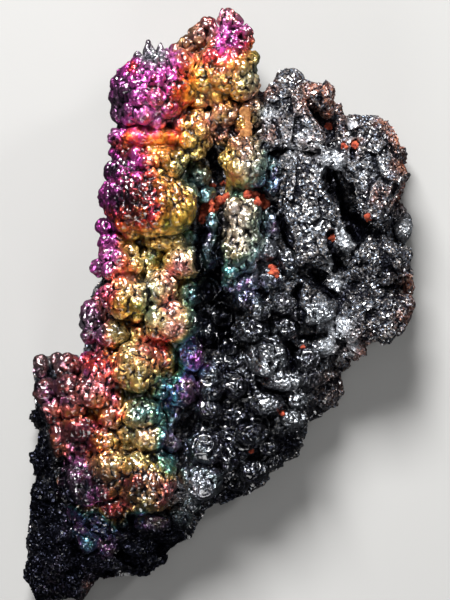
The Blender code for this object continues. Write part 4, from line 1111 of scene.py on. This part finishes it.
def goethite():
    """Black iron oxide with a rainbow film where it grew, and grey grains where it broke."""
    material, tree = new_material("goethite")
    names = ("fine", "broad", "rock", "rust", "dull", "share", "satin", "shade")
    fine, broad, rock, rust, dull, share, satin, shade = (attribute(tree, name) for name in names)

    shimmer = times(tree, maths(tree, "SUBTRACT", wrinkle(tree, 700, 3), 0.5), 0.10)
    stops = [(order / THICKEST, colour) for order, colour in FILM_COLOURS]
    film = ramp(tree, maths(tree, "ADD", attribute(tree, "film"), shimmer), stops)
    film = mixed(tree, attribute(tree, "pale_and_highlight"), film, PALEST_AND_HIGHLIGHT)
    grown = mixed(tree, share, mixed(tree, attribute(tree, "grain"), DARK_STEEL, LIGHT_STEEL), film)

    # Each grain's own three random numbers give its tone, its rust and its tint.
    random = {"Color": cells(tree, GRAIN_SIZE).outputs["Color"]}
    outlets = node(tree, "SeparateColor", random).outputs
    colours = (GRAIN_TONES, RUST_TONES, GRAIN_TINTS)
    tone, rusty, tint = (ramp(tree, outlet, stops) for outlet, stops in zip(outlets, colours))
    patchy = times(tree, rust, mapped(tree, wrinkle(tree, 260, 3), 0.38, 0.55), clamp=True)
    broken = mixed(tree, rock, grown, mixed(tree, 0.8, tone, tint, "MULTIPLY"))
    # Silvery metal where the silver patches are, partly painted highlight.
    broken = mixed(tree, attribute(tree, "silver_and_highlight"), broken, SILVER_HIGHLIGHT_METAL)
    colour = mixed(tree, patchy, broken, rusty)

    # Painted shade: the colour darkens in the creases and in the shade patches, but not in the
    # creases of the satin bands.
    painted_crease_shade = times(tree, mapped(tree, fine, 0.27, 0.56), mapped(tree, broad, 0.2, 0.55), clamp=True)
    painted_crease_shade = maths(tree, "MAXIMUM", painted_crease_shade, times(tree, satin, 0.9))
    painted_shade_factor = mapped(tree, shade, 0, 0.9, 1, 0.02)
    light = times(tree, mapped(tree, painted_crease_shade, 0, 1, 0.05, 1), painted_shade_factor)

    # Rock, rust and earth are matt. Film and steel are metal under a clear coat.
    matt = maths(tree, "MAXIMUM", times(tree, rock, 0.25), maths(tree, "MAXIMUM", patchy, dull))
    matt = times(tree, matt, mapped(tree, shade, 0, 1, 1, 0))
    metal = mapped(tree, matt, 0, 1, METALLIC, MATT_METALLIC)
    tinted = times(tree, share, mapped(tree, satin, 0, 1, 0.12, 0.5))
    gloss = mapped(tree, wrinkle(tree, 1300, 2), 0.3, 0.7, 0.25, 0.38)
    gloss = blended(tree, satin, gloss, SATIN_ROUGHNESS)
    polish = times(tree, mapped(tree, matt, 0, 1, COAT, 0), mapped(tree, satin, 0, 1, 1, 0.15))
    glint = times(tree, attribute(tree, "bare"), mapped(tree, painted_crease_shade, 0, 0.6, 0.15, 1))

    faces = (tilted_faces(tree, *row) for row in (COARSE_FACES, FINE_FACES))
    pimples = times(tree, maths(tree, "ADD", *faces), mapped(tree, satin, 0, 1, 1, 0.3))
    folds = maths(tree, "SUBTRACT", wrinkle(tree, 480, 1.5, 0.5), 0.5)
    folds = times(tree, maths(tree, "ABSOLUTE", folds, 0), -FOLD_DEPTH * MM)
    grown_relief = blended(tree, attribute(tree, "wrinkled"), pimples, folds)
    relief_height = blended(tree, rock, grown_relief, tilted_faces(tree, *CRYSTALS))
    set_shader(tree, {
        "Base Color": mixed(tree, light, PAINTED_SHADE_COLOUR, colour),
        "Metallic": maths(tree, "SUBTRACT", metal, tinted, clamp=True),
        "Roughness": blended(tree, matt, gloss, MATT_ROUGHNESS),
        "Specular IOR Level": 0.2,
        "Coat Weight": times(tree, polish, glint),
        "Coat Roughness": 0.13,
        "Coat IOR": 1.9,
        "Normal": raised(tree, relief_height),
    })
    return material


def earth(name, scale, tones, roughness):
    """Matt, crumbly iron earth."""
    material, tree = new_material(name)
    set_shader(tree, {
        "Base Color": ramp(tree, wrinkle(tree, scale, 4, 0.65), tones),
        "Roughness": roughness,
        "Normal": raised(tree, times(tree, wrinkle(tree, 1600, 3), GRIT_DEPTH * MM)),
    })
    return material


# The rock's skins, and what surrounds it.


def declare(obj, material, smooth):
    """Gives a piece its material and shading, attaches it to the root and hides the CAD's rock."""
    obj.data.materials.clear()
    obj.data.materials.append(material)
    if smooth:
        obj.data.shade_smooth()
    else:
        obj.data.shade_flat()
    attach(obj, "root")
    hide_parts(NODE)


def skin(name, shapes, material, kind):
    """A detailed skin round the shapes. Its kind is pimpled, wrinkled or rock."""
    obj = fused(name, shapes, VOXEL)
    sink(obj)
    if kind == "rock":
        break_rock(obj)
    else:
        pimple(obj, kind == "wrinkled")
    thin(obj)
    drop_specks(obj)
    describe(obj.data, kind)
    declare(obj, material, kind != "rock")
    return obj


def centre_on_origin(skins):
    """Puts the skins where the CAD solid is, and gives how far they moved, in millimetres."""
    points = np.concatenate([read_vectors(obj.data.vertices, "co") for obj in skins])
    middle = (points.min(axis=0) + points.max(axis=0)) / 2
    shift = np.array((-middle[0], -middle[1], 0))
    for obj in skins:
        move_points(obj.data, (read_vectors(obj.data.vertices, "co") + shift) * MM)
    return shift


def spire_shapes():
    ball = unit_ball(3)
    for x, y, z, across, along, lean in SPIRES:
        points, faces = placed_ball(ball, (0, 0, 0), (across, along, across), across)
        points[:, 0] *= np.where(points[:, 1] > 0, 1 - 0.5 * points[:, 1] / along, 1)
        points[:, 0] += lean * points[:, 1]
        yield points + np.array((x, y, z)), faces


def rock_skins():
    material = goethite()
    cores = (LEFT_CORE, CORE_TOP), (MIDDLE_CORE, CORE_TOP), (KNOB_CORE, KNOB_CORE_TOP)
    left, middle, knobs = (slab(outline, ROOT, top, CORE_SLOPE) for outline, top in cores)
    plate = [slab(*row) for row in PLATES]
    upper = [left, *lump_shapes(UPPER_LEFT, True, 3), *spire_shapes()]
    recipes = (
        ("upper_left_stalactites", "pimpled", upper),
        ("lower_left_stalactites", "pimpled", lump_shapes(LOWER_LEFT, True, 4)),
        ("gold_stalactites", "pimpled", [middle, *lump_shapes(GOLDEN, True, 5)]),
        ("dark_knobs", "wrinkled", [knobs, *lump_shapes(KNOBS, False, 6)]),
        ("broken_plate", "rock", [*plate, *lump_shapes(ROCK, False, 7)]),
    )
    return [skin(name, shapes, material, kind) for name, kind, shapes in recipes]


# Red earth caught between the lumps: x, y, half width, half length and how far it is turned, in
# degrees.
EARTH = (
    (-2.6, 30.0, 3.0, 1.6, 25), (-5.2, 26.6, 1.2, 1.7, -15), (0.8, 32.4, 1.9, 0.9, 20),
    (11.0, 32.4, 3.4, 1.4, -20), (12.8, 31.0, 2.0, 1.1, -35), (15.8, 10.8, 1.2, 1.5, 10),
    (17.0, 9.6, 0.8, 0.8, 0), (34.0, 20.3, 1.1, 0.8, 0), (40.6, 48.8, 0.9, 1.3, 10),
    (37.4, 47.8, 0.9, 0.7, 0), (33.0, 54.4, 1.0, 0.8, 20), (44.6, 26.4, 0.8, 0.8, 0),
    (18.8, -32.2, 0.7, 0.5, 0), (1.0, 37.2, 0.7, 0.7, 0), (-2.0, 36.4, 0.6, 0.6, 0),
    (25.0, -12.5, 0.5, 0.7, 0), (9.5, -44.0, 0.6, 0.5, 0),
)
FLAKE = 1.6  # a flake's size
RED_WEAR = ((0.3, 0.9, 61), (0.15, 0.45, 67))  # height, size and salt of each set of waves

# The ochre block on the gold stalactite: x, y, half width and half length of each piece of it.
OCHRE_BLOCK = (
    (7.6, 56.4, 1.6, 2.6), (7.8, 52.8, 1.6, 2.4), (7.5, 51.2, 1.4, 1.4), (7.8, 58.2, 1.3, 1.2),
)
BLOCK_CORNERS = (
    (-1, 1), (0.2, 1.1), (1, 0.9), (1.1, -0.2), (0.9, -1), (-0.1, -1.1), (-1, -0.9), (-1.1, 0.2),
)
BLOCK_DEPTH = 5.0
BLOCK_RISE = 0.5  # how far the block stands out of the skin around it
OCHRE_WEAR = ((0.35, 1.6, 81), (0.15, 0.6, 87))


def surface_height(x, y, shift):
    """The height of what lies under a place, or None where there is nothing."""
    graph = bpy.context.evaluated_depsgraph_get()
    above = Vector((np.array((x, y, ABOVE_ALL)) + shift) * MM)
    hit, spot, *_ = bpy.context.scene.ray_cast(graph, above, Vector((0, 0, -1)))
    return spot.z / MM if hit else None


def earth_piece(name, shapes, wear, material, smooth, shift):
    """A piece of earth that lies on the skins, worn by waves."""
    obj = fused(name, shapes, EARTH_VOXEL)
    points, normals = points_and_normals(obj.data)
    worn = sum(height * waves(points, size, salt) for height, size, salt in wear)
    move_points(obj.data, (points + normals * worn[:, None] + shift) * MM)
    declare(obj, material, smooth)


def red_flakes(shift):
    """Small bumpy balls that lie on the skins, in the patches of red earth."""
    random = np.random.default_rng(9)
    ball, faces = unit_ball(1)
    for x, y, across, along, turn in EARTH:
        cosine, sine = math.cos(math.radians(turn)), math.sin(math.radians(turn))
        for _ in range(round(5 + 7 * across * along)):
            radius, angle = math.sqrt(random.random()), random.uniform(0, 2 * math.pi)
            side, ahead = radius * across * math.cos(angle), radius * along * math.sin(angle)
            place = [x + side * cosine - ahead * sine, y + side * sine + ahead * cosine]
            height = surface_height(*place, shift)
            if height is None:
                continue
            size = FLAKE * random.uniform(0.5, 1.0, 3) * min(1.0, 0.25 + 0.35 * across)
            bumpy = ball * (1 + random.uniform(-0.3, 0.3, (len(ball), 1)))
            yield bumpy * size + (*place, height + 0.25 * size[2]), faces


def block_slabs(shift):
    """The flat-topped slabs of the ochre block, which fills a break in the gold stalactite."""
    for x, y, across, along in OCHRE_BLOCK:
        top = surface_height(x, y, shift) + BLOCK_RISE
        outline = [(x + across * side, y + along * end) for side, end in BLOCK_CORNERS]
        yield slab(outline, top - BLOCK_DEPTH, top, 0.3)


# The floor, the lights and the camera.


# Each light's name, its place, where it points, its size and its power in watts.
LIGHTS = (
    ("key", (-0.28, 1.12, 1.05), (0, 0.03, 0.02), 0.58, 62),
    ("softbox", (-0.08, 0.15, 1.20), (0, 0, 0.02), 0.50, 1.0),
    ("side", (0.95, 0.65, 0.75), (0, 0, 0.02), 0.25, 5),
    ("lower", (-0.10, -1.00, 0.55), (0, 0, 0.02), 0.50, 4.5),
)
FLOOR_SIZE = 3.0
VIEW_MIDDLE = (1.5, 1.8)  # in the outlines' millimetres
REFERENCE_HEIGHT = 30.0  # of the stalactites, in millimetres
VIEW_HEIGHT = 180.0  # what the frame's height spans at the reference height
DISTANCE = 0.9
SENSOR = 36.0


def floor():
    material, tree = new_material("pale_floor")
    set_shader(tree, {"Base Color": (0.37, 0.366, 0.357, 1), "Roughness": 0.7})
    bpy.ops.mesh.primitive_plane_add(size=FLOOR_SIZE)
    obj = bpy.context.object
    obj.name = "floor"
    obj.visible_glossy = False  # the real metal mirrors black here, so it mirrors no pale floor
    obj.data.materials.append(material)
    obj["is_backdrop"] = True


def area_light(name, place, target, size, power):
    light = bpy.data.lights.new(name, "AREA")
    light.size = size
    light.energy = power
    obj = bpy.data.objects.new(name, light)
    bpy.context.scene.collection.objects.link(obj)
    obj.location = place
    obj.rotation_euler = (Vector(target) - obj.location).to_track_quat("-Z", "Y").to_euler()


def studio():
    for row in LIGHTS:
        area_light(*row)
    world = bpy.context.scene.world or bpy.data.worlds.new("studio")
    bpy.context.scene.world = world
    world.use_nodes = True
    background = world.node_tree.nodes["Background"]
    background.inputs["Color"].default_value = (0.9, 0.92, 1.0, 1)
    background.inputs["Strength"].default_value = 0.03
    bpy.context.scene.view_settings.view_transform = "Standard"


def camera(shift):
    data = bpy.data.cameras.new("camera")
    data.sensor_fit = "VERTICAL"
    data.sensor_height = SENSOR
    data.lens = SENSOR * DISTANCE / (VIEW_HEIGHT * MM)
    data.clip_start = 0.05
    obj = bpy.data.objects.new("camera", data)
    bpy.context.scene.collection.objects.link(obj)
    x, y = (VIEW_MIDDLE[axis] + shift[axis] for axis in (0, 1))
    obj.location = (x * MM, y * MM, REFERENCE_HEIGHT * MM + DISTANCE)
    bpy.context.scene.camera = obj


def main():
    shift = centre_on_origin(rock_skins())
    bpy.context.view_layer.update()
    ochre = earth("ochre_earth", 700, OCHRE_TONES, 0.75)
    earth_piece("ochre_block", block_slabs(shift), OCHRE_WEAR, ochre, True, shift)
    red = earth("red_earth", 900, RED_TONES, 0.85)
    earth_piece("red_earth", red_flakes(shift), RED_WEAR, red, False, shift)
    floor()
    studio()
    camera(shift)


main()
boxes = {"cad": cad_box, "scene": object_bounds()}
{name: [list(corner) for corner in box] for name, box in boxes.items()}
